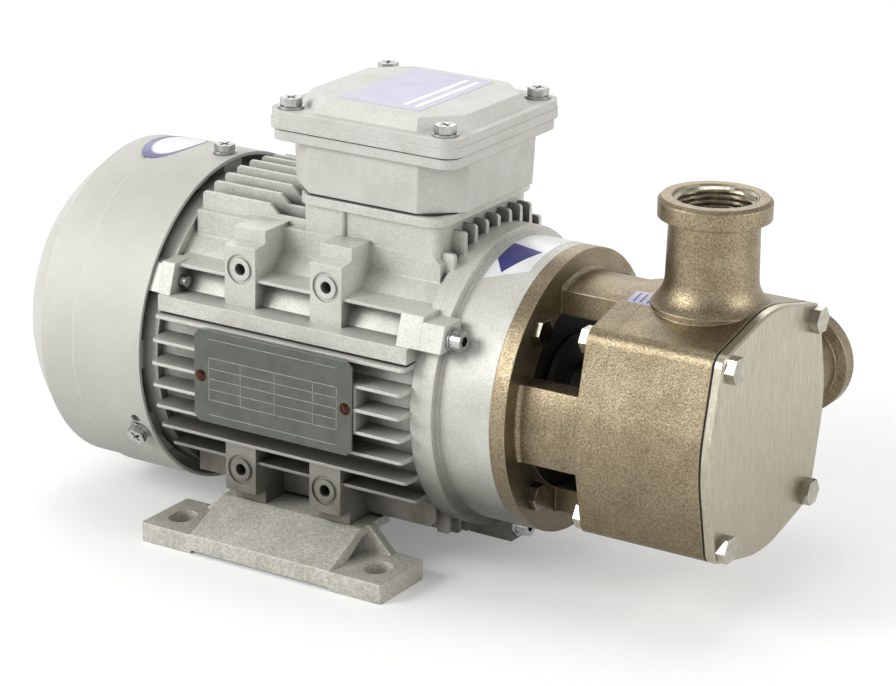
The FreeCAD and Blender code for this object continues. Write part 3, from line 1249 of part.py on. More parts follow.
def terminal_box_lid():
    """Lid with a stepped rim and a raised panel with bevelled sides."""
    skirt_top = LID_BOTTOM_Z + LID_SKIRT
    skirt = rounded_plan(LID_LENGTH, LID_WIDTH, LID_CORNER_R, LID_BOTTOM_Z, skirt_top)
    upper = rounded_plan(LID_LENGTH - 2 * LID_RIM_INSET, LID_WIDTH - 2 * LID_RIM_INSET,
                         LID_CORNER_R - LID_RIM_INSET, skirt_top, LID_RIM_TOP_Z)
    outlines = []
    for shrink in (0.0, 2 * LID_WALL):
        length = PANEL_LENGTH - shrink
        width = PANEL_WIDTH - shrink
        outlines.append(chamfered_plan(length, width, PANEL_CHAMFER, PANEL_CHAMFER))
        outlines.append(chamfered_plan(length - 2 * PANEL_SLOPE, width - 2 * PANEL_SLOPE,
                                       PANEL_TOP_CHAMFER, PANEL_TOP_CHAMFER))
    base, top, inner_base, inner_top = outlines
    panel = loft_between(base, LID_RIM_TOP_Z, top, PANEL_TOP_Z)
    tools = [plan_prism(inner_base, LID_BOTTOM_Z, LID_RIM_TOP_Z - LID_WALL),
             loft_between(inner_base, LID_RIM_TOP_Z - LID_WALL, inner_top, PANEL_TOP_Z - LID_WALL)]
    for x, y in lid_screw_places():
        tools.append(Part.makeCylinder(LID_SCREW_R + SCREW_CLEARANCE, LID_RIM_TOP_Z - LID_BOTTOM_Z,
                                       Vector(x, y, LID_BOTTOM_Z)))
    return cut_all(joined([skirt, upper, panel]), tools)


def lid_screws():
    """Hexagon screws that close the terminal box."""
    screw = hex_bolt(LID_SCREW_AF, LID_SCREW_HEAD, LID_SCREW_R, LID_WASHER + LID_RIM_TOP_Z - BOX_RIM_Z)
    return [aimed(screw, Vector(x, y, LID_RIM_TOP_Z + LID_WASHER), Vector(0, 0, 1))
            for x, y in lid_screw_places()]


def lid_screw_washers():
    """Washers under the heads of the lid screws."""
    plate = washer(LID_WASHER_R, LID_SCREW_R, LID_WASHER)
    return [aimed(plate, Vector(x, y, LID_RIM_TOP_Z), Vector(0, 0, 1)) for x, y in lid_screw_places()]


def box_screws():
    """Screws that hold the terminal box to the pedestal."""
    screw = hex_bolt(BOX_SCREW_AF, BOX_SCREW_HEAD, BOX_SCREW_R, BOX_SCREW_GRIP)
    top = BOX_BOTTOM_Z + BOX_WALL
    return [aimed(screw, Vector(x, y, top), Vector(0, 0, 1)) for x, y in box_screw_places()]


def stud_places():
    """Plan positions of the six terminal studs."""
    return [(BOX_X + sx * STUD_PITCH_X, sy * STUD_PITCH_Y / 2) for sx in (-1, 0, 1) for sy in (-1, 1)]


def terminal_block():
    """Moulded block that carries the terminal studs."""
    length, width, height = TERMINAL_BLOCK
    floor = BOX_BOTTOM_Z + BOX_WALL
    x_range = (BOX_X - length / 2, BOX_X + length / 2)
    y_range = (-width / 2, width / 2)
    half = BLOCK_RIB_THICKNESS / 2
    base = block(x_range, y_range, (floor, floor + height * BLOCK_BASE_SHARE))
    ribs = []
    for half_pitches in (-3, -1, 1, 3):
        x = BOX_X + half_pitches * STUD_PITCH_X / 2
        ribs.append(block((x - half, x + half), y_range, (floor, floor + height)))
    holes = [Part.makeCylinder(STUD_R + SLIP, height, Vector(x, y, floor)) for x, y in stud_places()]
    limits = block(x_range, y_range, (floor, floor + height))
    return cut_all(joined([base] + ribs).common(limits), holes)


def terminal_studs():
    """Brass studs, each with its nut."""
    floor = BOX_BOTTOM_Z + BOX_WALL
    seat = TERMINAL_BLOCK[2] * BLOCK_BASE_SHARE
    pin = Part.makeCylinder(STUD_R, seat + STUD_HEIGHT)
    nut = hexagon(NUT_AF, seat, seat + NUT_HEIGHT)
    stud = joined([pin, nut])
    return [aimed(stud, Vector(x, y, floor), Vector(0, 0, 1)) for x, y in stud_places()]


def gland_point(offset):
    """Point on the cable gland axis, offset outwards from the pad on the far wall of the box."""
    z_mid = BOX_BOTTOM_Z + BOX_WALL + GLAND_HOLE_R + SLIP
    return Vector(BOX_X, BOX_WIDTH / 2 + GLAND_PAD_HEIGHT + offset, z_mid)


def cable_gland():
    """Cable gland body, screwed into the wall of the terminal box."""
    collar = hexagon(GLAND_AF, 0, GLAND_COLLAR)
    collar.rotate(Vector(), Vector(0, 0, 1), GLAND_TURN)
    dome = Part.makeCone(GLAND_DOME_R, GLAND_DOME_END_R, GLAND_LENGTH - GLAND_COLLAR,
                         Vector(0, 0, GLAND_COLLAR))
    inside = BOX_WALL + GLAND_PAD_HEIGHT + GLAND_PAST_WALL
    shank = Part.makeCylinder(GLAND_HOLE_R, inside, Vector(0, 0, -inside))
    body = joined([collar, dome, shank])
    bore = Part.makeCylinder(GLAND_BORE_R, GLAND_LENGTH + inside + 2 * OVERRUN,
                             Vector(0, 0, -inside - OVERRUN))
    pocket = Part.makeCylinder(GLAND_SEAL_R, GLAND_SEAL_LENGTH, Vector(0, 0, GLAND_SEAL_START))
    return aimed(body.cut([bore, pocket]), gland_point(0), Vector(0, 1, 0))


def gland_seal():
    """Rubber seal inside the cable gland."""
    sleeve = Part.makeCylinder(GLAND_SEAL_R - SLIP / 2, GLAND_SEAL_LENGTH, Vector(0, 0, GLAND_SEAL_START))
    bore = Part.makeCylinder(CABLE_R, GLAND_LENGTH, Vector(0, 0, 0))
    return aimed(sleeve.cut(bore), gland_point(0), Vector(0, 1, 0))


def near_foot():
    """Cast foot on the -Y side: pads, sloping web, inner web and gussets."""
    return across(far_foot())


def far_foot():
    """Cast foot on the +Y side."""
    x_low = FOOT_MID_X - FOOT_LENGTH / 2
    x_high = FOOT_MID_X + FOOT_LENGTH / 2
    pad_inner = FOOT_OUTER_Y - FOOT_PAD_WIDTH
    top_z = SHAFT_HEIGHT - BOSS_TOP_DZ
    slope_low = FOOT_MID_X - FOOT_SLOPE_HALF_LENGTH
    slope_high = FOOT_MID_X + FOOT_SLOPE_HALF_LENGTH
    base = block((x_low, x_high), (pad_inner, FOOT_OUTER_Y), (0, FOOT_PAD_HEIGHT))
    uprights = [e for e in base.Edges if abs(e.tangentAt(e.FirstParameter).z) > 0.9]
    base = base.makeFillet(FOOT_PAD_CORNER_R, uprights)
    under_top = top_z - FOOT_WALL
    toe = FOOT_OUTER_Y - FOOT_TOE_WALL
    web_face = pad_inner + FOOT_WALL
    shell = ((FOOT_OUTER_Y, 0), (FOOT_OUTER_Y, FOOT_PAD_HEIGHT), (FOOT_TOP_Y, top_z),
             (FOOT_TOP_INNER_Y, top_z), (FOOT_TOP_INNER_Y, under_top), (pad_inner, under_top), (pad_inner, 0))
    inside = ((toe, -OVERRUN), (toe, FOOT_PAD_HEIGHT - FOOT_WALL), (FOOT_TOP_Y - FOOT_SLOPE_INSET, under_top),
              (web_face, under_top), (web_face, -OVERRUN))
    body = section_prism([(y, z - SHAFT_HEIGHT) for y, z in shell], slope_low, slope_high)
    hollow = section_prism([(y, z - SHAFT_HEIGHT) for y, z in inside], slope_low, slope_high)
    gusset_top = FOOT_SLOPE_HALF_LENGTH + FOOT_GUSSET_START
    gusset_low = gusset_top + FOOT_GUSSET_REACH
    gusset_z = FOOT_PAD_HEIGHT - OVERLAP
    gusset = ((FOOT_MID_X - gusset_low, gusset_z), (FOOT_MID_X - gusset_top, top_z),
              (FOOT_MID_X + gusset_top, top_z), (FOOT_MID_X + gusset_low, gusset_z))
    web = side_prism(gusset, pad_inner, web_face)
    relief = block((FOOT_MID_X - FOOT_RELIEF_HALF_LENGTH, FOOT_MID_X + FOOT_RELIEF_HALF_LENGTH),
                   (pad_inner - OVERRUN, FOOT_OUTER_Y + OVERRUN), (-OVERRUN, FOOT_RELIEF))
    tools = [relief]
    for x in (0.0, REAR_FOOT_X):
        tools.append(foot_slot(x))
    for station in BOSS_STATIONS:
        tools.append(Part.makeCylinder(M6_R + SCREW_CLEARANCE, FOOT_WALL + 2 * OVERRUN,
                                       Vector(station, FOOT_BOLT_Y, under_top - OVERRUN)))
    return cut_all(joined([base, body, web]).cut(hollow), tools)


def foot_slot(x):
    """Slot through a foot pad at +Y, long across the shaft."""
    y_mid = FOOT_SLOT_PITCH_Y / 2
    run = FOOT_SLOT_LENGTH / 2 - FOOT_SLOT_R
    middle = block((x - FOOT_SLOT_R, x + FOOT_SLOT_R), (y_mid - run, y_mid + run),
                   (-OVERRUN, FOOT_PAD_HEIGHT + OVERRUN))
    ends = [Part.makeCylinder(FOOT_SLOT_R, FOOT_PAD_HEIGHT + 2 * OVERRUN,
                              Vector(x, y_mid + side * run, -OVERRUN)) for side in (-1, 1)]
    return joined([middle] + ends)


def foot_bolts():
    """Hexagon bolts that hold the feet to the lower bosses."""
    bolt = hex_bolt(M6_HEAD_AF, M6_HEAD_HEIGHT, M6_R, FOOT_WALL + FOOT_BOLT_GRIP)
    head_z = SHAFT_HEIGHT - BOSS_TOP_DZ - FOOT_WALL
    return [aimed(bolt, Vector(x, side * FOOT_BOLT_Y, head_z), Vector(0, 0, -1))
            for x in BOSS_STATIONS for side in (-1, 1)]


def nameplate():
    """Thin plate with cut corners on the near side fins."""
    low_x, high_x = NAMEPLATE_X
    low_z, high_z = (SHAFT_HEIGHT + dz for dz in NAMEPLATE_DZ)
    c = NAMEPLATE_CORNER
    outline = ((low_x + c, low_z), (high_x - c, low_z), (high_x, low_z + c), (high_x, high_z - c),
               (high_x - c, high_z), (low_x + c, high_z), (low_x, high_z - c), (low_x, low_z + c))
    back = -FIN_TIP_R
    sheet = side_prism(outline, back - NAMEPLATE_THICKNESS, back)
    start = back - NAMEPLATE_THICKNESS - OVERRUN
    holes = [Part.makeCylinder(RIVET_R + SCREW_CLEARANCE, NAMEPLATE_THICKNESS + 2 * OVERRUN,
                               axis_point(x, start), Vector(0, 1, 0)) for x in rivet_places()]
    return cut_all(sheet, holes)


def nameplate_rivets():
    """Dome rivets at the ends of the nameplate."""
    back = -FIN_TIP_R - NAMEPLATE_THICKNESS
    pin = Part.makeCylinder(RIVET_R, RIVET_LENGTH, Vector(0, 0, -RIVET_LENGTH))
    head = Part.makeCone(RIVET_HEAD_R, RIVET_HEAD_R * RIVET_CROWN_SHARE, RIVET_HEAD_HEIGHT)
    rivet = joined([pin, head])
    return [aimed(rivet, axis_point(x, back), Vector(0, -1, 0)) for x in rivet_places()]


def casing_outline(x, offset=0.0):
    """Closed outline of the pump casing: four sides, each bowed in its middle, and four round corners."""
    slope = math.radians(CASING_SIDE_ANGLE)
    centre = CASING_APEX - CASING_APEX_R
    apex_r = CASING_APEX_R + offset
    corner_r = CASING_CORNER_R + offset
    reach = CASING_APEX_R - CASING_CORNER_R + centre * math.cos(slope)
    corner = reach / (math.sin(slope) + math.cos(slope))
    bow_end = Vector(0, apex_r * math.sin(slope), centre + apex_r * math.cos(slope))
    side_end = Vector(0, corner + corner_r * math.sin(slope), corner + corner_r * math.cos(slope))
    corner_mid = Vector(0, *polar(math.hypot(corner, corner) + corner_r, 45))
    side = [Part.Arc(Vector(0, -bow_end.y, bow_end.z), Vector(0, 0, CASING_APEX + offset), bow_end).toShape(),
            Part.makeLine(bow_end, side_end),
            Part.Arc(side_end, corner_mid, Vector(0, side_end.z, side_end.y)).toShape(),
            Part.makeLine(Vector(0, side_end.z, side_end.y), Vector(0, bow_end.z, bow_end.y))]
    edges = []
    for quarter in range(4):
        for edge in side:
            copy = edge.copy()
            copy.rotate(Vector(), Vector(1, 0, 0), -90 * quarter)
            copy.translate(axis_point(x))
            edges.append(copy)
    return Part.Face(Part.Wire(edges))


def casing_prism(x_start, x_end, offset=0.0):
    """Prism with the casing outline."""
    return casing_outline(x_start, offset).extrude(Vector(x_end - x_start, 0, 0))


def corner_places(offset=COVER_BOLT_OFFSET):
    """Y and dz of the four corner bolts."""
    return [(sy * offset, sz * offset) for sy in (-1, 1) for sz in (-1, 1)]


def lantern_bracket():
    """Cast bracket: flange, four struts with a root fillet and the plate behind the casing."""
    flange = disc(FLANGE_R, FLANGE_X, LANTERN_FRONT_X)
    tube = disc(LANTERN_TUBE_R, LANTERN_FRONT_X - OVERLAP, LANTERN_PLATE_X + OVERLAP)
    root_end = LANTERN_FRONT_X + LANTERN_ROOT_R
    root = disc(LANTERN_TUBE_R + LANTERN_ROOT_R, LANTERN_FRONT_X - OVERLAP, root_end)
    root = root.cut(Part.makeTorus(LANTERN_TUBE_R + LANTERN_ROOT_R, LANTERN_ROOT_R,
                                   axis_point(root_end), Vector(1, 0, 0)))
    half = STRUT_WIDTH / 2
    reach = LANTERN_TUBE_R + LANTERN_ROOT_R + OVERRUN
    windows = []
    for sy in (-1, 1):
        for sz in (-1, 1):
            y_range = sorted((sy * half, sy * reach))
            z_range = sorted((SHAFT_HEIGHT + sz * half, SHAFT_HEIGHT + sz * reach))
            windows.append(block((LANTERN_FRONT_X, LANTERN_PLATE_X), y_range, z_range))
    plate = casing_prism(LANTERN_PLATE_X, CASING_X)
    tools = [disc(SPIGOT_R + SPIGOT_FIT, FLANGE_X - OVERRUN, LANTERN_FRONT_X),
             disc(LANTERN_TUBE_R - LANTERN_TUBE_WALL, FLANGE_X, LANTERN_PLATE_X),
             disc(SEAL_BORE_R + SPIGOT_FIT, LANTERN_PLATE_X - OVERRUN, CASING_X + OVERRUN)]
    tools += [disc(M6_R + SCREW_CLEARANCE, FLANGE_X - OVERRUN, LANTERN_FRONT_X + OVERRUN,
                   *polar(FLANGE_PITCH_R, angle)) for angle in FLANGE_BOLT_ANGLES]
    tools += corner_holes(LANTERN_PLATE_X - OVERRUN, CASING_X + OVERRUN)
    return cut_all(joined([flange, joined([tube, root]).cut(windows), plate]), tools)


def corner_holes(x_start, x_end):
    """Holes for the four corner bolts between two stations."""
    return [disc(M6_R + SCREW_CLEARANCE, x_start, x_end, y, dz) for y, dz in corner_places()]


def flange_bolts():
    """Hexagon bolts from the bracket into the motor flange."""
    bolt = hex_bolt(M6_HEAD_AF, M6_HEAD_HEIGHT, M6_R, LANTERN_FLANGE_THICKNESS + SHIELD_PLATE - BOLT_TIP_BACK)
    return [aimed(bolt, axis_point(LANTERN_FRONT_X, *polar(FLANGE_PITCH_R, angle)), Vector(1, 0, 0))
            for angle in FLANGE_BOLT_ANGLES]


def bracket_bolts():
    """Hexagon bolts from behind the bracket plate into the casing."""
    bolt = hex_bolt(M6_HEAD_AF, M6_HEAD_HEIGHT, M6_R, CASING_X - LANTERN_PLATE_X + BRACKET_BOLT_GRIP)
    return [aimed(bolt, axis_point(LANTERN_PLATE_X, y, dz), Vector(-1, 0, 0)) for y, dz in corner_places()]


def port_body():
    """Outlet neck and collar above the casing, built along +Z at the port station."""
    root = SHAFT_HEIGHT + CASING_APEX
    face = SHAFT_HEIGHT + PORT_FACE
    collar_low = face - COLLAR_HEIGHT
    flare_z = root - NECK_FLARE_DROP
    share_r, share_z = NECK_FLARE_MID
    points = ((0, SHAFT_HEIGHT + CHAMBER_R), (NECK_ROOT_R + NECK_FLARE, SHAFT_HEIGHT + CHAMBER_R),
              (NECK_ROOT_R + NECK_FLARE, flare_z))
    flare_mid = (NECK_ROOT_R + NECK_FLARE * share_r, flare_z + NECK_FLARE * share_z)
    flare_end = (NECK_ROOT_R, flare_z + NECK_FLARE * NECK_FLARE_RISE)
    edges = []
    chain = [Vector(PORT_X + r, 0, z) for r, z in points]
    edges += [Part.makeLine(a, b) for a, b in zip(chain, chain[1:])]
    mid = Vector(PORT_X + flare_mid[0], 0, flare_mid[1])
    end = Vector(PORT_X + flare_end[0], 0, flare_end[1])
    edges.append(Part.Arc(chain[-1], mid, end).toShape())
    rest = ((NECK_R, collar_low - COLLAR_TAPER), (COLLAR_R, collar_low), (COLLAR_R, face - COLLAR_EDGE_R),
            (COLLAR_R - COLLAR_EDGE_R, face), (0, face))
    tail = [end] + [Vector(PORT_X + r, 0, z) for r, z in rest]
    edges += [Part.makeLine(a, b) for a, b in zip(tail, tail[1:])]
    edges.append(Part.makeLine(tail[-1], chain[0]))
    return Part.Face(Part.Wire(edges)).revolve(Vector(PORT_X, 0, 0), Vector(0, 0, 1), 360)


def port_bore():
    """Thread bore, its countersunk mouth and the passage to the chamber."""
    face = SHAFT_HEIGHT + PORT_FACE
    thread = Part.makeCylinder(THREAD_R, THREAD_LENGTH, Vector(PORT_X, 0, face - THREAD_LENGTH))
    mouth = Part.makeCone(THREAD_R, THREAD_MOUTH_R, THREAD_MOUTH_DEPTH,
                          Vector(PORT_X, 0, face - THREAD_MOUTH_DEPTH))
    funnel = Part.makeCone(PASSAGE_R, THREAD_R - FUNNEL_STEP, FUNNEL_LENGTH,
                           Vector(PORT_X, 0, face - THREAD_LENGTH - FUNNEL_LENGTH))
    passage = Part.makeCylinder(PASSAGE_R, PORT_FACE - THREAD_LENGTH - CHAMBER_R + PASSAGE_RUN_IN,
                                Vector(PORT_X, 0, SHAFT_HEIGHT + CHAMBER_R - PASSAGE_RUN_IN))
    return [thread, mouth, funnel, passage]


def pump_casing():
    """Pump casing with the impeller chamber, two threaded ports and the seal seat."""
    body = casing_prism(CASING_X, CASING_FRONT_X)
    spigot = disc(SEAL_BORE_R, LANTERN_PLATE_X + CASING_SPIGOT_BACK, CASING_X + OVERLAP)
    span = block((CASING_X, CASING_FRONT_X), (-COLLAR_R * 2, COLLAR_R * 2),
                 (SHAFT_HEIGHT, SHAFT_HEIGHT + PORT_FACE + OVERRUN))
    port = port_body().common(span)
    solids = [body, spigot, port, turned(port, -90)]
    tools = [disc(CHAMBER_R, CHAMBER_REAR_X, CASING_FRONT_X + OVERRUN)]
    for tool in port_bore():
        tools += [tool, turned(tool, -90)]
    tools.append(disc(SEAT_OUTER_R + SLIP, SEAT_X, CHAMBER_REAR_X))
    tools.append(disc(PUMP_SHAFT_R + CASING_SHAFT_GAP, LANTERN_PLATE_X, SEAT_X))
    tools.append(disc(SLEEVE_R + SLEEVE_GAP, LANTERN_PLATE_X, SLEEVE_END_X + SLEEVE_GAP))
    tools += corner_holes(CASING_X - OVERRUN, CASING_X + BRACKET_BOLT_GRIP + SCREW_END_GAP)
    tools += corner_holes(CASING_FRONT_X - COVER_BOLT_GRIP - COVER_BOLT_END_GAP, CASING_FRONT_X + OVERRUN)
    tools.append(cam_screw_shape(SCREW_CLEARANCE))
    return cut_all(joined(solids), tools)


def cover_gasket():
    """Gasket between the casing and its cover."""
    tools = [disc(CHAMBER_R, CASING_FRONT_X, COVER_X)] + corner_holes(CASING_FRONT_X, COVER_X)
    return cut_all(casing_prism(CASING_FRONT_X, COVER_X, -COVER_GASKET_INSET), tools)


def end_cover():
    """Flat front cover of the pump, its front edge broken by a small chamfer."""
    plate = casing_prism(COVER_X, COVER_FRONT_X)
    rim = [edge for edge in plate.Edges if edge.BoundBox.XMin > COVER_FRONT_X - SLIP]
    return cut_all(plate.makeChamfer(COVER_EDGE, rim), corner_holes(COVER_X, COVER_FRONT_X))


def cover_bolts():
    """Hexagon bolts at the corners of the cover."""
    bolt = hex_bolt(M6_HEAD_AF, M6_HEAD_HEIGHT, M6_R, COVER_THICKNESS + COVER_GASKET + COVER_BOLT_GRIP)
    return [aimed(bolt, axis_point(COVER_FRONT_X, y, dz), Vector(1, 0, 0)) for y, dz in corner_places()]


def cam_inner_radius(angle):
    """Distance from the shaft axis to the cam's face, or to the chamber wall beside the cam."""
    turn = math.radians((angle - CAM_ANGLE + 180) % 360 - 180)
    wall = CHAMBER_R - SLIP
    edge_gap = math.radians(CAM_HALF_ANGLE)
    if abs(turn) >= edge_gap:
        return CHAMBER_R
    share = (math.cos(turn) - math.cos(edge_gap)) / (1 - math.cos(edge_gap))
    return wall - CAM_RISE * share


def cam():
    """Cam plate on the chamber wall between the two ports."""
    outer = CHAMBER_R - SLIP
    low = CAM_ANGLE - CAM_HALF_ANGLE
    high = CAM_ANGLE + CAM_HALF_ANGLE
    ends = [axis_point(IMPELLER_REAR_X, *polar(outer, angle)) for angle in (low, high)]
    back = axis_point(IMPELLER_REAR_X, *polar(outer, CAM_ANGLE))
    front = axis_point(IMPELLER_REAR_X, *polar(outer - CAM_RISE, CAM_ANGLE))
    arcs = [Part.Arc(ends[0], back, ends[1]), Part.Arc(ends[1], front, ends[0])]
    wire = Part.Wire([arc.toShape() for arc in arcs])
    body = Part.Face(wire).extrude(Vector(IMPELLER_FRONT_X - IMPELLER_REAR_X, 0, 0))
    return body.cut(cam_screw_shape(SCREW_CLEARANCE / 2))


def cam_screw_shape(clearance):
    """Countersunk screw through the cam into the casing corner."""
    inner_r = CHAMBER_R - SLIP - CAM_RISE
    x_mid = (IMPELLER_REAR_X + IMPELLER_FRONT_X) / 2
    start = axis_point(x_mid, inner_r + CAM_SCREW_SINK)
    outward = Vector(0, 1, 0)
    head_r = CAM_SCREW_HEAD_R + clearance
    stem_r = CAM_SCREW_R + clearance
    head = Part.makeCone(head_r, stem_r, CAM_SCREW_HEAD_DEPTH, start, outward)
    lead = Part.makeCylinder(stem_r, CAM_SCREW_LENGTH + clearance, start, outward)
    shape = joined([head, lead])
    if clearance:
        mouth_start = axis_point(x_mid, inner_r - OVERRUN)
        mouth = Part.makeCylinder(head_r, CAM_SCREW_SINK + OVERRUN, mouth_start, outward)
        shape = joined([shape, mouth])
    return turned(shape, CAM_ANGLE)


def cam_screw():
    """Screw that holds the cam."""
    return cam_screw_shape(0.0)


def vane_outline(angle):
    """Section of one vane at rest: it trails behind its root where the wall or cam presses it in."""
    gap = RUNNING_GAP + VANE_PRESS_GAP
    lag = 0.0
    for _ in range(VANE_FIT_STEPS):
        tip_r = cam_inner_radius(angle + lag) - gap - VANE_BULB_R
        for side in (-VANE_LOOK_ASIDE, VANE_LOOK_ASIDE):
            wall = cam_inner_radius(angle + lag + side)
            tip_r = min(tip_r, wall - gap - VANE_BULB_R * VANE_SIDE_SHARE)
        cosine = (VANE_ROOT_R ** 2 + tip_r ** 2 - VANE_FREE_REACH ** 2) / (2 * VANE_ROOT_R * tip_r)
        lag = math.degrees(math.acos(max(-1.0, min(1.0, cosine))))
    return tip_r, lag


def vane(angle):
    """One bent vane with its round tip."""
    tip_r, lag = vane_outline(angle)
    root = Vector(0, *polar(VANE_ROOT_R - VANE_ROOT_DEPTH, angle))
    tip = Vector(0, *polar(tip_r, angle + lag))
    chord = tip - root
    side = Vector(0, -chord.z, chord.y)
    side.normalize()
    bow = side * (-VANE_BOW * chord.Length)
    middle = (root + tip) * 0.5 + bow
    origin = axis_point(IMPELLER_REAR_X)
    ends = []
    for way in (-1, 1):
        half_root = way * VANE_ROOT_THICKNESS / 2
        half_tip = way * VANE_TIP_THICKNESS / 2
        half_mid = half_tip + way * VANE_BELLY
        ends.append([origin + root + side * half_root, origin + middle + side * half_mid,
                     origin + tip + side * half_tip])
    low, high = ends
    wire = Part.Wire([Part.Arc(*low).toShape(), Part.makeLine(low[2], high[2]),
                      Part.Arc(high[2], high[1], high[0]).toShape(), Part.makeLine(high[0], low[0])])
    length = Vector(IMPELLER_FRONT_X - IMPELLER_REAR_X, 0, 0)
    bulb = Part.makeCylinder(VANE_BULB_R, length.x, origin + tip, Vector(1, 0, 0))
    return [Part.Face(wire).extrude(length), bulb]


def impeller():
    """Rubber impeller with its vanes bent as they lie in the chamber."""
    solids = [disc(VANE_ROOT_R, IMPELLER_REAR_X, IMPELLER_FRONT_X)]
    for step in range(VANE_COUNT):
        solids += vane(360.0 * step / VANE_COUNT + VANE_START_ANGLE)
    pocket = disc(SEAL_POCKET_R - IMPELLER_POCKET_STEP, IMPELLER_REAR_X - OVERRUN,
                  IMPELLER_REAR_X + IMPELLER_POCKET_DEPTH)
    bore = disc(IMPELLER_HUB_R, IMPELLER_REAR_X - OVERRUN, IMPELLER_FRONT_X + OVERRUN)
    return joined(solids).cut([pocket, bore])


def impeller_hub():
    """Bronze hub bonded inside the impeller, flatted on the shaft."""
    start = IMPELLER_REAR_X + IMPELLER_POCKET_DEPTH
    return ring(IMPELLER_HUB_R, PUMP_SHAFT_R, start, IMPELLER_FRONT_X - IMPELLER_HUB_BACK)


def pump_shaft():
    """Stub shaft with a sleeve that slides over the motor shaft end."""
    start = FLANGE_X + SLEEVE_START
    floor = SLEEVE_END_X - SLEEVE_FLOOR
    tip = IMPELLER_FRONT_X - SHAFT_TIP_BACK
    flare_x, flare_r = SHAFT_ROOT_FLARE
    outer = ((start, 0), (start, SLEEVE_R), (SLEEVE_END_X - SLEEVE_CHAMFER, SLEEVE_R),
             (SLEEVE_END_X, SLEEVE_R - SLEEVE_CHAMFER), (SLEEVE_END_X, PUMP_SHAFT_R + flare_r),
             (SLEEVE_END_X + flare_x, PUMP_SHAFT_R), (tip, PUMP_SHAFT_R), (tip, 0))
    keyway = block((start, KEY_X + KEY_LENGTH), (-KEY_WIDTH / 2, KEY_WIDTH / 2),
                   (SHAFT_HEIGHT, SHAFT_HEIGHT + SHAFT_END_R - KEY_DEPTH + KEY_HEIGHT))
    return revolve(outer).cut([disc(SHAFT_END_R, start, floor), keyway] + grub_holes())


def grub_cylinder(x, start_r, length):
    """Cylinder of the grub screws' size at one station, its inner end hollowed to fit the shaft."""
    body = Part.makeCylinder(GRUB_R, length, axis_point(x, -start_r), Vector(0, -1, 0))
    return body.cut(disc(SHAFT_END_R, x - GRUB_R - OVERRUN, x + GRUB_R + OVERRUN))


def grub_holes():
    """Radial holes for the grub screws in the sleeve."""
    return [grub_cylinder(x, 0, SLEEVE_R) for x in GRUB_STATIONS]


def grub_screws():
    """Socket grub screws that clamp the sleeve to the shaft."""
    screws = []
    for x in GRUB_STATIONS:
        floor = axis_point(x, GRUB_SOCKET_DEPTH - SHAFT_END_R - GRUB_LENGTH)
        socket = aimed(hexagon(GRUB_SOCKET_AF, 0, GRUB_SOCKET_DEPTH + OVERRUN), floor, Vector(0, -1, 0))
        screws.append(grub_cylinder(x, SHAFT_END_R, GRUB_LENGTH).cut(socket))
    return screws


def seal_seat():
    """Fixed ceramic seat of the face seal."""
    return ring(SEAT_OUTER_R, PUMP_SHAFT_R + SEAT_SHAFT_GAP, SEAT_X, SEAT_X + SEAT_WIDTH)


def seal_ring():
    """Turning carbon ring of the face seal."""
    start = SEAT_X + SEAT_WIDTH + SEAL_FACE_GAP
    return ring(SEAL_RING_R, PUMP_SHAFT_R + SLIP, start, start + SEAL_RING_WIDTH)


def seal_bellows():
    """Rubber cup that carries the carbon ring on the shaft."""
    start = SEAT_X + SEAT_WIDTH + SEAL_FACE_GAP + SEAL_RING_WIDTH
    return ring(BELLOWS_R, PUMP_SHAFT_R, start, start + BELLOWS_WIDTH)


def seal_spring():
    """Closed-end coil spring behind the rubber cup."""
    start = SEAT_X + SEAT_WIDTH + SEAL_FACE_GAP + SEAL_RING_WIDTH + SEAL_SPRING_WIRE
    pitch = (BELLOWS_WIDTH - 2 * SEAL_SPRING_WIRE) / SEAL_SPRING_TURNS
    helix = Part.makeHelix(pitch, pitch * SEAL_SPRING_TURNS, SEAL_SPRING_R)
    circle = Part.Wire(Part.makeCircle(SEAL_SPRING_WIRE, Vector(SEAL_SPRING_R, 0, 0), Vector(0, 1, 0)))
    coil = Part.Wire(helix).makePipeShell([circle], True, True)
    return aimed(coil, axis_point(start), Vector(1, 0, 0))


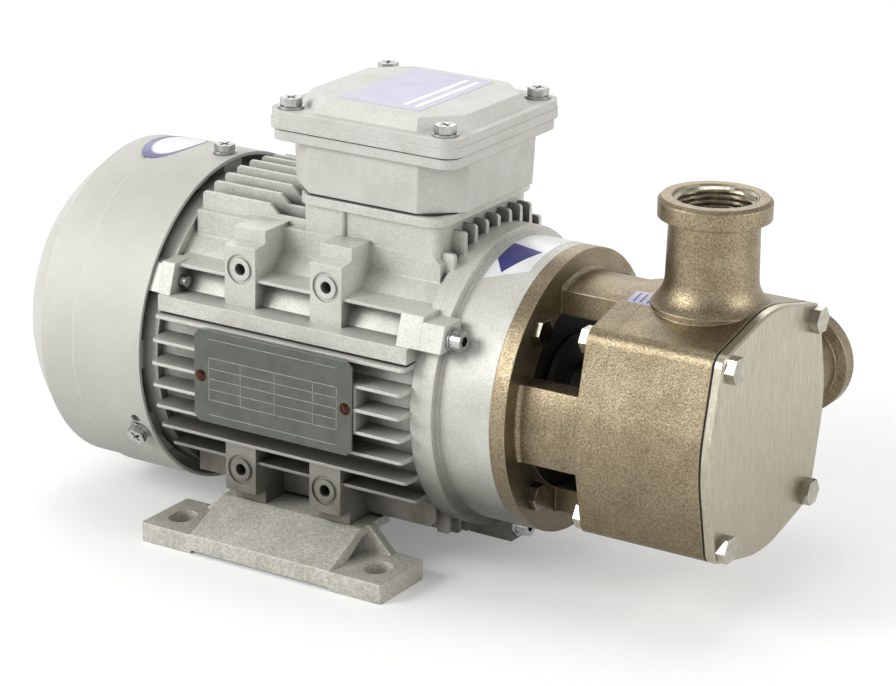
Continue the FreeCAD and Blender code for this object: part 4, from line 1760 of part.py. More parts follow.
PIECES = {
    "motor_frame": motor_frame,
    "drive_end_shield": drive_end_shield,
    "rear_end_shield": rear_end_shield,
    "end_shield_screws": end_shield_screws,
    "shield_screw_washers": shield_screw_washers,
    "fan_cowl": fan_cowl,
    "cowl_screws": cowl_screws,
    "cooling_fan": cooling_fan,
    "fan_retaining_ring": fan_retaining_ring,
    "stator_core": stator_core,
    "stator_windings": stator_windings,
    "rotor_core": rotor_core,
    "motor_shaft": motor_shaft,
    "shaft_key": shaft_key,
    "front_bearing_outer_ring": lambda: bearing_outer_ring(FRONT_BEARING_X),
    "front_bearing_inner_ring": lambda: bearing_inner_ring(FRONT_BEARING_X),
    "front_bearing_balls": lambda: bearing_balls(FRONT_BEARING_X),
    "front_bearing_cage": lambda: bearing_cage(FRONT_BEARING_X),
    "rear_bearing_outer_ring": lambda: bearing_outer_ring(REAR_BEARING_X),
    "rear_bearing_inner_ring": lambda: bearing_inner_ring(REAR_BEARING_X),
    "rear_bearing_balls": lambda: bearing_balls(REAR_BEARING_X),
    "rear_bearing_cage": lambda: bearing_cage(REAR_BEARING_X),
    "wave_spring": wave_spring,
    "flange_shaft_seal": flange_shaft_seal,
    "slinger_ring": slinger_ring,
    "terminal_box": terminal_box,
    "terminal_box_gasket": terminal_box_gasket,
    "terminal_box_lid": terminal_box_lid,
    "lid_gasket": lid_gasket,
    "lid_screws": lid_screws,
    "lid_screw_washers": lid_screw_washers,
    "box_screws": box_screws,
    "terminal_block": terminal_block,
    "terminal_studs": terminal_studs,
    "cable_gland": cable_gland,
    "gland_seal": gland_seal,
    "near_foot": near_foot,
    "far_foot": far_foot,
    "foot_bolts": foot_bolts,
    "nameplate": nameplate,
    "nameplate_rivets": nameplate_rivets,
    "lantern_bracket": lantern_bracket,
    "flange_bolts": flange_bolts,
    "bracket_bolts": bracket_bolts,
    "pump_casing": pump_casing,
    "cover_gasket": cover_gasket,
    "end_cover": end_cover,
    "cover_bolts": cover_bolts,
    "cam": cam,
    "cam_screw": cam_screw,
    "impeller": impeller,
    "impeller_hub": impeller_hub,
    "pump_shaft": pump_shaft,
    "grub_screws": grub_screws,
    "seal_seat": seal_seat,
    "seal_ring": seal_ring,
    "seal_bellows": seal_bellows,
    "seal_spring": seal_spring,
}


def main():
    """Write every piece to its own file."""
    os.makedirs("parts", exist_ok=True)
    for name, make in PIECES.items():
        made = make()
        shape = Part.makeCompound(made) if isinstance(made, list) else made
        shape.exportStep(f"parts/{name}.step")
        print(f"{name}: {len(shape.Solids)} solids, {shape.Volume / 1000:.1f} cm3")


main()
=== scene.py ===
"""Looks of an impeller pump driven by a foot-mounted motor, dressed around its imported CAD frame."""

import logging
import math
from dataclasses import dataclass, field, replace
from enum import Enum
from typing import Callable, Optional

import bmesh
import bpy
from mathutils import Matrix, Quaternion, Vector

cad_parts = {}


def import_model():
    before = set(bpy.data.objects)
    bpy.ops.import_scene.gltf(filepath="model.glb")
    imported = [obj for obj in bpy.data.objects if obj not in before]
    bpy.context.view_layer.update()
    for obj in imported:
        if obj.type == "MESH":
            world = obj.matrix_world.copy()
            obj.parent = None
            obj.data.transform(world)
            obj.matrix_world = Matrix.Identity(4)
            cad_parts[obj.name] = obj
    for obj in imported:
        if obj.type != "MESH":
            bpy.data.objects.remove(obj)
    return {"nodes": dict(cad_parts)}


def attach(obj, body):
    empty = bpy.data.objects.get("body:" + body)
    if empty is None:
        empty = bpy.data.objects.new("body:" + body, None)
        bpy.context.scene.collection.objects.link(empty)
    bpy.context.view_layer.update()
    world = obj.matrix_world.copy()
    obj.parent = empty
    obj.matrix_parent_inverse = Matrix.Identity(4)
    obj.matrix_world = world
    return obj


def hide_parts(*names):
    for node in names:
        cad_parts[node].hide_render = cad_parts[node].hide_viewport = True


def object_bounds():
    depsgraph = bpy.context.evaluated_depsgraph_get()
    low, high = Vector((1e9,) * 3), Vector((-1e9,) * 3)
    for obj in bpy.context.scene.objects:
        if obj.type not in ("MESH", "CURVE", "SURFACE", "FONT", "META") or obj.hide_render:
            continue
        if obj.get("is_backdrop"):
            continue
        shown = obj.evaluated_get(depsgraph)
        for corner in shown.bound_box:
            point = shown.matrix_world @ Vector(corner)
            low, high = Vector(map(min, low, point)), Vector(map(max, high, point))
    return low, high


MM = 0.001
SHAFT_Z = 80.0
WHITE = "#FFFFFF"
# A printed label's film and the ink or second film on it, in mm
FILM_THICKNESS = 0.12
INK_THICKNESS = 0.04
# Vertices nearer than this are one, in metres
WELD = 1e-6
CORNER_STEPS = 4
# Cuts in a film on a flat face, in mm
FLAT_PITCH = (100.0, 100.0)

log = logging.getLogger("impeller_pump")


class Body(Enum):
    """CAD bodies that the scene's own pieces ride on."""

    CASING = "casing"


class Axis(Enum):
    """Row frame axes that a port looks along."""

    UP = (0.0, 0.0, 1.0)
    FAR = (0.0, 1.0, 0.0)


def linear(code: str) -> tuple[float, float, float, float]:
    """Turns an sRGB hex colour into linear RGBA.

    Args:
        code: Colour such as "#C9C9C1".

    Returns:
        Linear red, green, blue and an alpha of one.
    """
    parts = [int(code[i : i + 2], 16) / 255.0 for i in (1, 3, 5)]
    made = [p / 12.92 if p <= 0.04045 else ((p + 0.055) / 1.055) ** 2.4 for p in parts]
    return made[0], made[1], made[2], 1.0


def per_metre(size_mm: float) -> float:
    """Gives the noise scale whose features are about size_mm wide."""
    return 1000.0 / size_mm


def add(tree, kind: str, settings: Optional[dict] = None, links: Optional[dict] = None):
    """Adds one node to a tree with its settings and links.

    Args:
        tree: The node tree that takes the node.
        kind: Blender's type name of the node.
        settings: Values by name: a lower-case name is a property, any other key a socket.
        links: (node, output) pairs by input socket.

    Returns:
        The new node.
    """
    node = tree.nodes.new(kind)
    for name, value in (settings or {}).items():
        if isinstance(name, str) and name.islower():
            setattr(node, name, value)
        else:
            node.inputs[name].default_value = value
    for name, (source, output) in (links or {}).items():
        tree.links.new(source.outputs[output], node.inputs[name])
    return node


def mapped(tree, source, span, made=(0.0, 1.0), smooth: bool = False):
    """Maps a span of values onto another one and clamps the rest.

    Args:
        tree: The node tree.
        source: Node and output of the value.
        span: Values where the mapping starts and ends.
        made: What they become.
        smooth: Whether the ends are eased.

    Returns:
        The node and the name of its output.
    """
    level = {"From Min": span[0], "From Max": span[1], "To Min": made[0], "To Max": made[1]}
    if smooth:
        level["interpolation_type"] = "SMOOTHSTEP"
    return add(tree, "ShaderNodeMapRange", level, {"Value": source}), "Result"


def ramp(tree, source, span: tuple[float, float], codes: tuple[str, str]):
    """Maps a span of values onto a blend of two colours.

    Args:
        tree: The node tree.
        source: Node and output of the value.
        span: Values where the blend starts and ends.
        codes: sRGB colours of its two ends.

    Returns:
        The node and the name of its output.
    """
    node = add(tree, "ShaderNodeValToRGB", links={"Fac": source})
    for element, position, code in zip(node.color_ramp.elements, span, codes):
        element.position = position
        element.color = linear(code)
    return node, "Color"


def empty_tree(owner):
    """Gives the emptied node tree of a material or world."""
    owner.use_nodes = True
    owner.node_tree.nodes.clear()
    return owner.node_tree


# What all finishes share: their masks' spans, shares and octaves, and their samples
PATCH_SPAN = (0.32, 0.64)
PATCH_DETAIL = 5.0
SPECKLE_SPAN = (0.36, 0.64)
SPECKLE_HARD = 0.7
FEW_OCTAVES = 2.0
PIT_BLEND = 0.08
EDGE_SPAN = (0.995, 0.9)
EDGE_WEAR_AND_HIGHLIGHT_SHARE = 0.75
CREVICE_SHADE_SHARE = 0.88
CREVICE_SAMPLES = 6
CLOUD_SPAN = (0.3, 0.65)
CLOUD_DETAIL = 4.0
CLOUD_FLOOR = 0.75
BEVEL_SAMPLES = 4
WEAR_GRAINS = 3.0
ROUGHNESS_FLOOR = 0.02
COAT_ROUGHNESS = 0.2


@dataclass(frozen=True)
class Finish:
    """A real material with the way its surface was made, and the light and shade painted into its
    colour.

    Sizes are millimetres on the real part.
    """

    name: str
    colour: str
    shade: str
    metallic: float
    roughness: float
    roughness_swing: float = 0.08
    grain_mm: float = 0.8
    grain_depth_mm: float = 0.01
    patch_mm: float = 16.0
    stretch: tuple[float, float, float] = (1.0, 1.0, 1.0)
    pit_colour: Optional[str] = None
    pit_mm: float = 2.0
    pit_level: float = 0.66
    edge_mm: float = 0.2
    # Paler edges: partly rubbed wear, partly a painted highlight
    edge_wear_and_highlight: Optional[str] = None
    # Painted shade: a darker colour in crevices and between parts, from ambient occlusion
    crevice_mm: float = 0.0
    crevice_shade_colour: str = "#2A2822"
    crevice_open: float = 0.62
    crevice_shut: float = 0.12
    speckle: float = 0.0
    # Painted shade: a darker colour laid over the part towards its bottom
    low_shade_colour: Optional[str] = None
    low_top: float = 60.0
    low_bottom: float = 20.0
    low_share: float = 0.7
    coat: float = 0.0

    def coordinates(self, tree):
        """Adds the object coordinates, drawn out along the lay of the surface.

        Args:
            tree: The material's tree.

        Returns:
            The node and the name of its output.
        """
        coords = add(tree, "ShaderNodeTexCoord")
        lay = add(
            tree, "ShaderNodeMapping", {"Scale": self.stretch}, {"Vector": (coords, "Object")}
        )
        return lay, "Vector"

    def noise(self, tree, size_mm: float, detail: float = 3.0, hard: float = 0.6):
        """Adds a noise of the given feature size.

        Args:
            tree: The material's tree.
            size_mm: Width of a feature.
            detail: Octaves.
            hard: Roughness of the octaves.

        Returns:
            The node and the name of its output.
        """
        settings = {"Scale": per_metre(size_mm), "Detail": detail, "Roughness": hard}
        links = {"Vector": self.coordinates(tree)}
        return add(tree, "ShaderNodeTexNoise", settings, links), "Fac"

    def surface_colour(self, tree, rounded):
        """Builds the colour: patches, grain, pits, paler edges (partly wear, partly painted
        highlight), painted shade low down and painted shade in crevices.

        Args:
            tree: The material's tree.
            rounded: The node that gives the rounded normal.

        Returns:
            The node and the name of its output.
        """
        patches = self.noise(tree, self.patch_mm, PATCH_DETAIL)
        last = ramp(tree, patches, PATCH_SPAN, (self.shade, self.colour))
        if self.speckle:
            grain = self.noise(tree, self.grain_mm, FEW_OCTAVES, SPECKLE_HARD)
            tones = (1.0 - self.speckle, 1.0 + self.speckle)
            tone = mapped(tree, grain, SPECKLE_SPAN, tones)
            links = {0: last, "Scale": tone}
            scaled = add(tree, "ShaderNodeVectorMath", {"operation": "SCALE"}, links)
            last = (scaled, "Vector")
        if self.pit_colour:
            pits = self.noise(tree, self.pit_mm, FEW_OCTAVES)
            mask = mapped(tree, pits, (self.pit_level, self.pit_level + PIT_BLEND))
            last = self.mixed(tree, last, self.pit_colour, mask)
        # Paler edges: partly rubbed wear, partly a painted highlight along them
        if self.edge_wear_and_highlight:
            geometry = add(tree, "ShaderNodeNewGeometry")
            links = {0: (rounded, "Normal"), 1: (geometry, "Normal")}
            turn = add(tree, "ShaderNodeVectorMath", {"operation": "DOT_PRODUCT"}, links)
            mask = mapped(tree, (turn, "Value"), EDGE_SPAN, (0.0, EDGE_WEAR_AND_HIGHLIGHT_SHARE))
            last = self.mixed(tree, last, self.edge_wear_and_highlight, mask)
        # Painted shade: darker towards the bottom of the part
        if self.low_shade_colour:
            last = self.mixed(tree, last, self.low_shade_colour, self.low_shade_mask(tree))
        # Painted shade in crevices and between parts, where the ambient occlusion finds them
        if self.crevice_mm:
            settings = {"samples": CREVICE_SAMPLES, "Distance": self.crevice_mm * MM}
            shelter = add(tree, "ShaderNodeAmbientOcclusion", settings)
            span = (self.crevice_open, self.crevice_shut)
            mask = mapped(tree, (shelter, "AO"), span, (0.0, CREVICE_SHADE_SHARE))
            last = self.mixed(tree, last, self.crevice_shade_colour, mask)
        return last

    def low_shade_mask(self, tree):
        """Adds the mask of the painted shade that darkens the part towards the floor.

        Args:
            tree: The material's tree.

        Returns:
            The node and the name of its output.
        """
        coords = add(tree, "ShaderNodeTexCoord")
        place = add(tree, "ShaderNodeSeparateXYZ", links={"Vector": (coords, "Object")})
        span = (self.low_top * MM, self.low_bottom * MM)
        depth = mapped(tree, (place, "Z"), span, (0.0, self.low_share), smooth=True)
        cloud = self.noise(tree, self.patch_mm, CLOUD_DETAIL)
        broken = mapped(tree, cloud, CLOUD_SPAN, (CLOUD_FLOOR, 1.0))
        links = {0: depth, 1: broken}
        return add(tree, "ShaderNodeMath", {"operation": "MULTIPLY"}, links), "Value"

    @staticmethod
    def mixed(tree, under, code: str, mask):
        """Lays one colour over another through a mask.

        Args:
            tree: The material's tree.
            under: Node and output of the colour below.
            code: sRGB colour laid on top.
            mask: Node and output of the mask.

        Returns:
            The node and the name of its output.
        """
        links = {"Factor": mask, 6: under}
        settings = {"data_type": "RGBA", 7: linear(code)}
        return add(tree, "ShaderNodeMix", settings, links), 2

    def relief(self, tree, rounded):
        """Adds the grain of the surface over the rounded edges.

        Args:
            tree: The material's tree.
            rounded: The node that gives the rounded normal.

        Returns:
            The bump node.
        """
        settings = {"Strength": 1.0, "Distance": self.grain_depth_mm * MM}
        links = {"Height": self.noise(tree, self.grain_mm), "Normal": (rounded, "Normal")}
        return add(tree, "ShaderNodeBump", settings, links)

    def material(self) -> bpy.types.Material:
        """Builds the material, once for the scene.

        Returns:
            The Blender material.
        """
        made = bpy.data.materials.get(self.name)
        if made:
            return made
        made = bpy.data.materials.new(self.name)
        tree = empty_tree(made)
        bevel = {"samples": BEVEL_SAMPLES, "Radius": self.edge_mm * MM}
        rounded = add(tree, "ShaderNodeBevel", bevel)
        wear = self.noise(tree, self.grain_mm * WEAR_GRAINS)
        lowest = max(ROUGHNESS_FLOOR, self.roughness - self.roughness_swing)
        levels = (lowest, self.roughness + self.roughness_swing)
        settings = {"Metallic": self.metallic}
        if self.coat:
            settings["Coat Weight"] = self.coat
            settings["Coat Roughness"] = COAT_ROUGHNESS
        links = {
            "Base Color": self.surface_colour(tree, rounded),
            "Roughness": mapped(tree, wear, (0.0, 1.0), levels),
            "Normal": (self.relief(tree, rounded), "Normal"),
        }
        shader = add(tree, "ShaderNodeBsdfPrincipled", settings, links)
        add(tree, "ShaderNodeOutputMaterial", links={"Surface": (shader, "BSDF")})
        made.diffuse_color = linear(self.colour)
        return made


@dataclass(frozen=True)
class BoredFinish(Finish):
    """A finish that gives way to a near-black painted shade inside a bore round the shaft."""

    bore_shade_colour: str = "#1D1B17"
    bore_radius: float = 41.5
    bore_start_x: float = 40.0

    def surface_colour(self, tree, rounded):
        """Builds the colour with the bore's painted shade over it.

        Args:
            tree: The material's tree.
            rounded: The node that gives the rounded normal.

        Returns:
            The node and the name of its output.
        """
        last = super().surface_colour(tree, rounded)
        # Painted shade: near-black inside the bore, ahead of bore_start_x
        coords = add(tree, "ShaderNodeTexCoord")
        shift = {"operation": "SUBTRACT", 1: (0.0, 0.0, SHAFT_Z * MM)}
        moved = add(tree, "ShaderNodeVectorMath", shift, {0: (coords, "Object")})
        flat = {"operation": "MULTIPLY", 1: (0.0, 1.0, 1.0)}
        across = add(tree, "ShaderNodeVectorMath", flat, {0: (moved, "Vector")})
        reach = add(tree, "ShaderNodeVectorMath", {"operation": "LENGTH"}, {0: (across, "Vector")})
        limit = {"operation": "LESS_THAN", 1: self.bore_radius * MM}
        inside = add(tree, "ShaderNodeMath", limit, {0: (reach, "Value")})
        place = add(tree, "ShaderNodeSeparateXYZ", links={"Vector": (coords, "Object")})
        start = {"operation": "GREATER_THAN", 1: self.bore_start_x * MM}
        ahead = add(tree, "ShaderNodeMath", start, {0: (place, "X")})
        links = {0: (inside, "Value"), 1: (ahead, "Value")}
        mask = add(tree, "ShaderNodeMath", {"operation": "MULTIPLY"}, links)
        return self.mixed(tree, last, self.bore_shade_colour, (mask, "Value"))


# Silver grey enamel sprayed on die-cast aluminium: satin, slightly sparkling, grainy from the
# mould, with paler edges (partly rubbed wear, partly painted highlight), painted shade in the corners
# and painted shade towards the bottom
MOTOR_CASTING = Finish(
    name="sprayed_die_cast_aluminium",
    colour="#D3D2CB",
    shade="#C6C5BC",
    metallic=0.25,
    roughness=0.46,
    grain_depth_mm=0.09,
    pit_colour="#B0AFA5",
    edge_wear_and_highlight="#E9E9E4",
    edge_mm=0.5,
    crevice_mm=18.0,
    speckle=0.11,
    low_shade_colour="#4B4739",
    low_top=72.0,
    low_bottom=30.0,
    low_share=0.92,
    pit_level=0.7,
    crevice_open=0.52,
    crevice_shut=0.14,
)
# The same enamel on the foot, whose mould left a coarser, duller skin
FOOT_CASTING = Finish(
    name="sprayed_sand_cast_aluminium",
    colour="#D2D0C6",
    shade="#BDBBAF",
    metallic=0.25,
    roughness=0.52,
    grain_mm=1.1,
    grain_depth_mm=0.14,
    pit_colour="#9C9A8F",
    edge_wear_and_highlight="#DEDDD4",
    edge_mm=0.8,
    # Painted shade in its crevices
    crevice_mm=10.0,
    speckle=0.2,
    crevice_open=0.5,
)
# The same enamel on the smoother terminal box and its lid
BOX_CASTING = Finish(
    name="sprayed_pressure_cast_aluminium",
    colour="#D3D2CC",
    shade="#C8C7BF",
    metallic=0.1,
    roughness=0.54,
    grain_depth_mm=0.05,
    pit_colour="#B4B1A6",
    pit_level=0.7,
    edge_wear_and_highlight="#EFEEEA",
    edge_mm=0.6,
    # Painted shade in its crevices
    crevice_mm=6.0,
    speckle=0.08,
    crevice_open=0.7,
)
# Enamel on deep-drawn steel sheet: smooth, with the faint orange peel of a spray gun, paler edges
# (partly wear, partly painted highlight) and painted shade in its hollows
COWL_SHEET = Finish(
    name="sprayed_pressed_steel_sheet",
    colour="#CFCEC7",
    shade="#C6C5BD",
    metallic=0.1,
    roughness=0.56,
    patch_mm=40.0,
    pit_colour="#BDBCB3",
    pit_level=0.74,
    pit_mm=1.2,
    edge_wear_and_highlight="#F0F0EC",
    edge_mm=0.6,
    speckle=0.05,
    crevice_mm=22.0,
    crevice_open=0.45,
    crevice_shut=0.1,
)
# The motor's flange: the same enamel outside, and in its bore bare machined metal, coloured
# near-black as painted shade of the deep lantern interior
SHIELD_CASTING = BoredFinish(
    **vars(replace(MOTOR_CASTING, name="sprayed_die_cast_aluminium_flange"))
)
# Stainless steel casting blasted with coarse glass beads: warm, frosted, brighter on its edges
# (partly wear, partly painted highlight), with painted shade in its crevices and towards the bottom
BLASTED_STAINLESS = Finish(
    name="bead_blasted_cast_stainless_steel",
    colour="#9C8F76",
    shade="#877B63",
    metallic=1.0,
    roughness=0.38,
    roughness_swing=0.12,
    grain_mm=0.75,
    grain_depth_mm=0.16,
    patch_mm=14.0,
    pit_colour="#6E6450",
    pit_mm=0.9,
    pit_level=0.68,
    edge_wear_and_highlight="#B5A990",
    edge_mm=0.8,
    crevice_mm=14.0,
    crevice_shade_colour="#1F1B13",
    speckle=0.36,
    low_shade_colour="#463F31",
    low_top=95.0,
    low_bottom=15.0,
    low_share=0.72,
)
# Stainless plate brushed upright with a belt: fine upright lines that spread the highlight, and
# painted shade darkening it towards the bottom
BRUSHED_STAINLESS = Finish(
    name="belt_brushed_stainless_plate",
    colour="#C1BBA9",
    shade="#B0AA97",
    metallic=1.0,
    roughness=0.36,
    roughness_swing=0.1,
    grain_mm=0.45,
    grain_depth_mm=0.02,
    patch_mm=1.0,
    stretch=(1.0, 1.0, 0.07),
    edge_wear_and_highlight="#BDB6A2",
    edge_mm=0.3,
    speckle=0.14,
    low_shade_colour="#857F6C",
    low_top=110.0,
    low_bottom=15.0,
    low_share=0.5,
)
# Cold-headed stainless bolts, tumbled bright
BOLT_STAINLESS = Finish(
    name="tumbled_stainless_fasteners",
    colour="#BDB9AC",
    shade="#A29D8F",
    metallic=1.0,
    roughness=0.24,
    grain_depth_mm=0.012,
    patch_mm=3.0,
    edge_wear_and_highlight="#E2DFD4",
    edge_mm=0.25,
    # Painted shade in its crevices
    crevice_mm=5.0,
    crevice_shade_colour="#2E2A20",
)
# Nickel-plated flange bolts, coloured dark as a painted reflection of the dark lantern, with painted
# shade round them
NICKEL_WITH_PAINTED_REFLECTION = Finish(
    name="nickel_plated_steel_bolts",
    colour="#8E8A7F",
    shade="#5F5B50",
    metallic=1.0,
    roughness=0.22,
    grain_mm=0.9,
    grain_depth_mm=0.012,
    patch_mm=3.0,
    edge_wear_and_highlight="#D2CEC2",
    edge_mm=0.3,
    crevice_mm=8.0,
    crevice_shade_colour="#1B1813",
)
# Bright zinc plate on steel screws, faintly blue
ZINC_PLATE = Finish(
    name="zinc_plated_steel_screws",
    colour="#C4C6C4",
    shade="#A3A4A0",
    metallic=1.0,
    roughness=0.24,
    grain_mm=0.9,
    grain_depth_mm=0.015,
    patch_mm=2.5,
    edge_wear_and_highlight="#E4E5E3",
    edge_mm=0.25,
    # Painted shade in its crevices
    crevice_mm=5.0,
)
# Steel turned and ground on a lathe: fine rings across the shaft
TURNED_STEEL = Finish(
    name="turned_ground_steel",
    colour="#BFBDB8",
    shade="#A5A39D",
    metallic=1.0,
    roughness=0.26,
    grain_mm=0.5,
    patch_mm=1.4,
    stretch=(1.0, 0.04, 0.04),
    edge_wear_and_highlight="#DCDAD5",
)
# Hardened bearing rings and balls, polished almost to a mirror
BEARING_STEEL = Finish(
    name="polished_bearing_steel",
    colour="#C9C8C6",
    shade="#BDBCBA",
    metallic=1.0,
    roughness=0.1,
    roughness_swing=0.03,
    grain_mm=0.6,
    grain_depth_mm=0.004,
    patch_mm=5.0,
)
# Glass-filled nylon, moulded dark brown
CAGE_NYLON = Finish(
    name="moulded_glass_filled_nylon",
    colour="#5A4B3A",
    shade="#4A3D2F",
    metallic=0.0,
    roughness=0.5,
    grain_mm=0.7,
    grain_depth_mm=0.02,
)
# Stacked laminations with a blue-grey oxide skin: one line per half-millimetre sheet
LAMINATED_STEEL = Finish(
    name="stacked_electrical_steel",
    colour="#6E747A",
    shade="#4E5358",
    metallic=0.9,
    roughness=0.45,
    grain_mm=0.5,
    grain_depth_mm=0.03,
    patch_mm=0.9,
    stretch=(1.0, 0.02, 0.02),
)
# Copper wire wound in bundles and dipped in amber varnish
VARNISHED_COPPER = Finish(
    name="varnished_copper_windings",
    colour="#B4643A",
    shade="#8A4320",
    metallic=0.75,
    roughness=0.32,
    grain_mm=1.1,
    grain_depth_mm=0.3,
    patch_mm=2.2,
    stretch=(0.1, 1.0, 1.0),
    edge_mm=0.8,
    coat=0.4,
)
# Aluminium cage cast straight onto the rotor, left as it came out of the die
RAW_ALUMINIUM = Finish(
    name="as_cast_aluminium",
    colour="#B9BBBC",
    shade="#9EA0A1",
    metallic=1.0,
    roughness=0.42,
    grain_mm=1.2,
    grain_depth_mm=0.05,
    edge_mm=0.4,
)
# Nitrile rubber, moulded matt black with a grey bloom
NITRILE_RUBBER = Finish(
    name="moulded_nitrile_rubber",
    colour="#2B2A27",
    shade="#1B1A18",
    metallic=0.0,
    roughness=0.62,
    grain_mm=1.3,
    grain_depth_mm=0.04,
    pit_colour="#3C3A35",
    edge_wear_and_highlight="#47443D",
    edge_mm=0.4,
)
# Black nylon with the light texture of its mould
BLACK_NYLON = Finish(
    name="moulded_black_nylon",
    colour="#26272A",
    shade="#1A1B1D",
    metallic=0.0,
    roughness=0.45,
    grain_depth_mm=0.03,
    pit_colour="#34353A",
    edge_wear_and_highlight="#4A4B50",
    edge_mm=0.4,
)
# Brass turned from bar
TURNED_BRASS = Finish(
    name="turned_brass",
    colour="#D1B274",
    shade="#B8955A",
    metallic=1.0,
    roughness=0.25,
    grain_mm=0.5,
    patch_mm=1.6,
)
# Tin bronze, turned and slightly tarnished
TURNED_BRONZE = Finish(
    name="turned_tin_bronze",
    colour="#B58A57",
    shade="#94693B",
    metallic=1.0,
    roughness=0.32,
    grain_mm=0.6,
    grain_depth_mm=0.02,
    patch_mm=3.0,
    edge_mm=0.3,
)
# Anodised aluminium plate dyed grey green, with a faint upright grain under the dye
PLATE_ANODISED = Finish(
    name="dyed_anodised_aluminium_plate",
    colour="#61665E",
    shade="#555A52",
    metallic=0.35,
    roughness=0.4,
    grain_mm=0.7,
    grain_depth_mm=0.02,
    patch_mm=9.0,
    pit_colour="#7C8279",
    edge_wear_and_highlight="#A9ADA4",
    edge_mm=0.25,
)
# Bare aluminium where the plate's ruled lines are milled through the dye
PLATE_LINES = Finish(
    name="milled_bare_aluminium_lines",
    colour="#A0A49B",
    shade="#8A8E85",
    metallic=0.6,
    roughness=0.4,
    grain_mm=0.6,
    patch_mm=4.0,
    edge_mm=0.1,
)
# Copper rivets browned by heat and age
BROWNED_COPPER = Finish(
    name="browned_copper_rivets",
    colour="#5C352B",
    shade="#331C17",
    metallic=0.85,
    roughness=0.36,
    grain_depth_mm=0.03,
    patch_mm=1.6,
    edge_mm=0.3,
)
# Alumina seal seat, ground flat
GROUND_CERAMIC = Finish(
    name="ground_alumina_ceramic",
    colour="#E9E6DA",
    shade="#DAD6C8",
    metallic=0.0,
    roughness=0.28,
    grain_mm=0.6,
    grain_depth_mm=0.008,
)
# Carbon seal ring, lapped to a dull sheen
LAPPED_CARBON = Finish(
    name="lapped_carbon",
    colour="#3A3A3C",
    shade="#2A2A2C",
    metallic=0.1,
    roughness=0.3,
    grain_mm=0.5,
    grain_depth_mm=0.006,
)
# White vinyl label stock with a satin laminate
WHITE_FILM = Finish(
    name="laminated_white_vinyl_film",
    colour="#F1F1F0",
    shade="#E4E3E6",
    metallic=0.0,
    roughness=0.3,
    grain_mm=3.0,
    grain_depth_mm=0.02,
    patch_mm=12.0,
    edge_mm=0.1,
    coat=0.3,
)
# Pale lavender ink printed on the same film
LAVENDER_INK = Finish(
    name="printed_lavender_ink_film",
    colour="#B7B4CC",
    shade="#ABA8C1",
    metallic=0.0,
    roughness=0.32,
    grain_mm=2.0,
    patch_mm=9.0,
    edge_mm=0.1,
    coat=0.3,
)
# Deep blue ink printed on the same film
BLUE_INK = replace(
    LAVENDER_INK, name="printed_deep_blue_ink_film", colour="#34357F", shade="#2A2B6C"
)
# Thread cut in the cast port: bright where the tap cleaned the metal
CUT_THREAD = Finish(
    name="tapped_stainless_thread",
    colour="#D8D3C4",
    shade="#B9B19C",
    metallic=1.0,
    roughness=0.22,
    grain_mm=0.7,
    patch_mm=3.0,
)


def linked(name: str, data) -> bpy.types.Object:
    """Adds an object that holds the data to the scene."""
    piece = bpy.data.objects.new(name, data)
    bpy.context.scene.collection.objects.link(piece)
    return piece


def from_bmesh(name: str, mesh: bmesh.types.BMesh) -> bpy.types.Object:
    """Turns a bmesh, which is freed, into an object of the scene."""
    data = bpy.data.meshes.new(name)
    mesh.to_mesh(data)
    mesh.free()
    return linked(name, data)


def skin(mesh: bmesh.types.BMesh, rings: list) -> None:
    """Joins rings of vertices, one after the other, and closes both ends."""
    for low, high in zip(rings, rings[1:]):
        for i in range(len(low)):
            j = (i + 1) % len(low)
            mesh.faces.new((low[i], low[j], high[j], high[i]))
    mesh.faces.new(rings[0])
    mesh.faces.new(list(reversed(rings[-1])))


def mesh_object(name: str, mesh: bmesh.types.BMesh, finish: Finish, body: Body) -> bpy.types.Object:
    """Turns a bmesh into a piece that rides on a CAD body.

    Args:
        name: Name of the piece.
        mesh: Its mesh in metres, which is freed.
        finish: Its finish.
        body: The CAD body that carries it.

    Returns:
        The piece.
    """
    bmesh.ops.recalc_face_normals(mesh, faces=mesh.faces[:])
    piece = from_bmesh(name, mesh)
    piece.data.materials.append(finish.material())
    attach(piece, body.value)
    log.info("%s: %d faces on %s", name, len(piece.data.polygons), body.value)
    return piece


Place = Callable[[float, float, float], Vector]


def on_barrel(radius: float, axis_z: float = SHAFT_Z) -> Place:
    """Gives the place of a film wrapped round an axis along X.

    Args:
        radius: Radius of the surface below, in mm.
        axis_z: Height of the axis, in mm.

    Returns:
        A function of x in mm, angle in degrees and height in mm that gives a point in metres.
    """

    def place(x: float, angle: float, height: float) -> Vector:
        reach = radius + height
        turn = math.radians(angle)
        return Vector((x, reach * math.cos(turn), axis_z + reach * math.sin(turn))) * MM

    return place


def on_level(z: float) -> Place:
    """Gives the place of a film laid on a level face at z, in mm."""
    return lambda x, y, height: Vector((x, y, z + height)) * MM


def on_front(y: float) -> Place:
    """Gives the place of a film laid on a face that looks along -Y, in mm."""
    return lambda x, z, height: Vector((x, y - height, z)) * MM


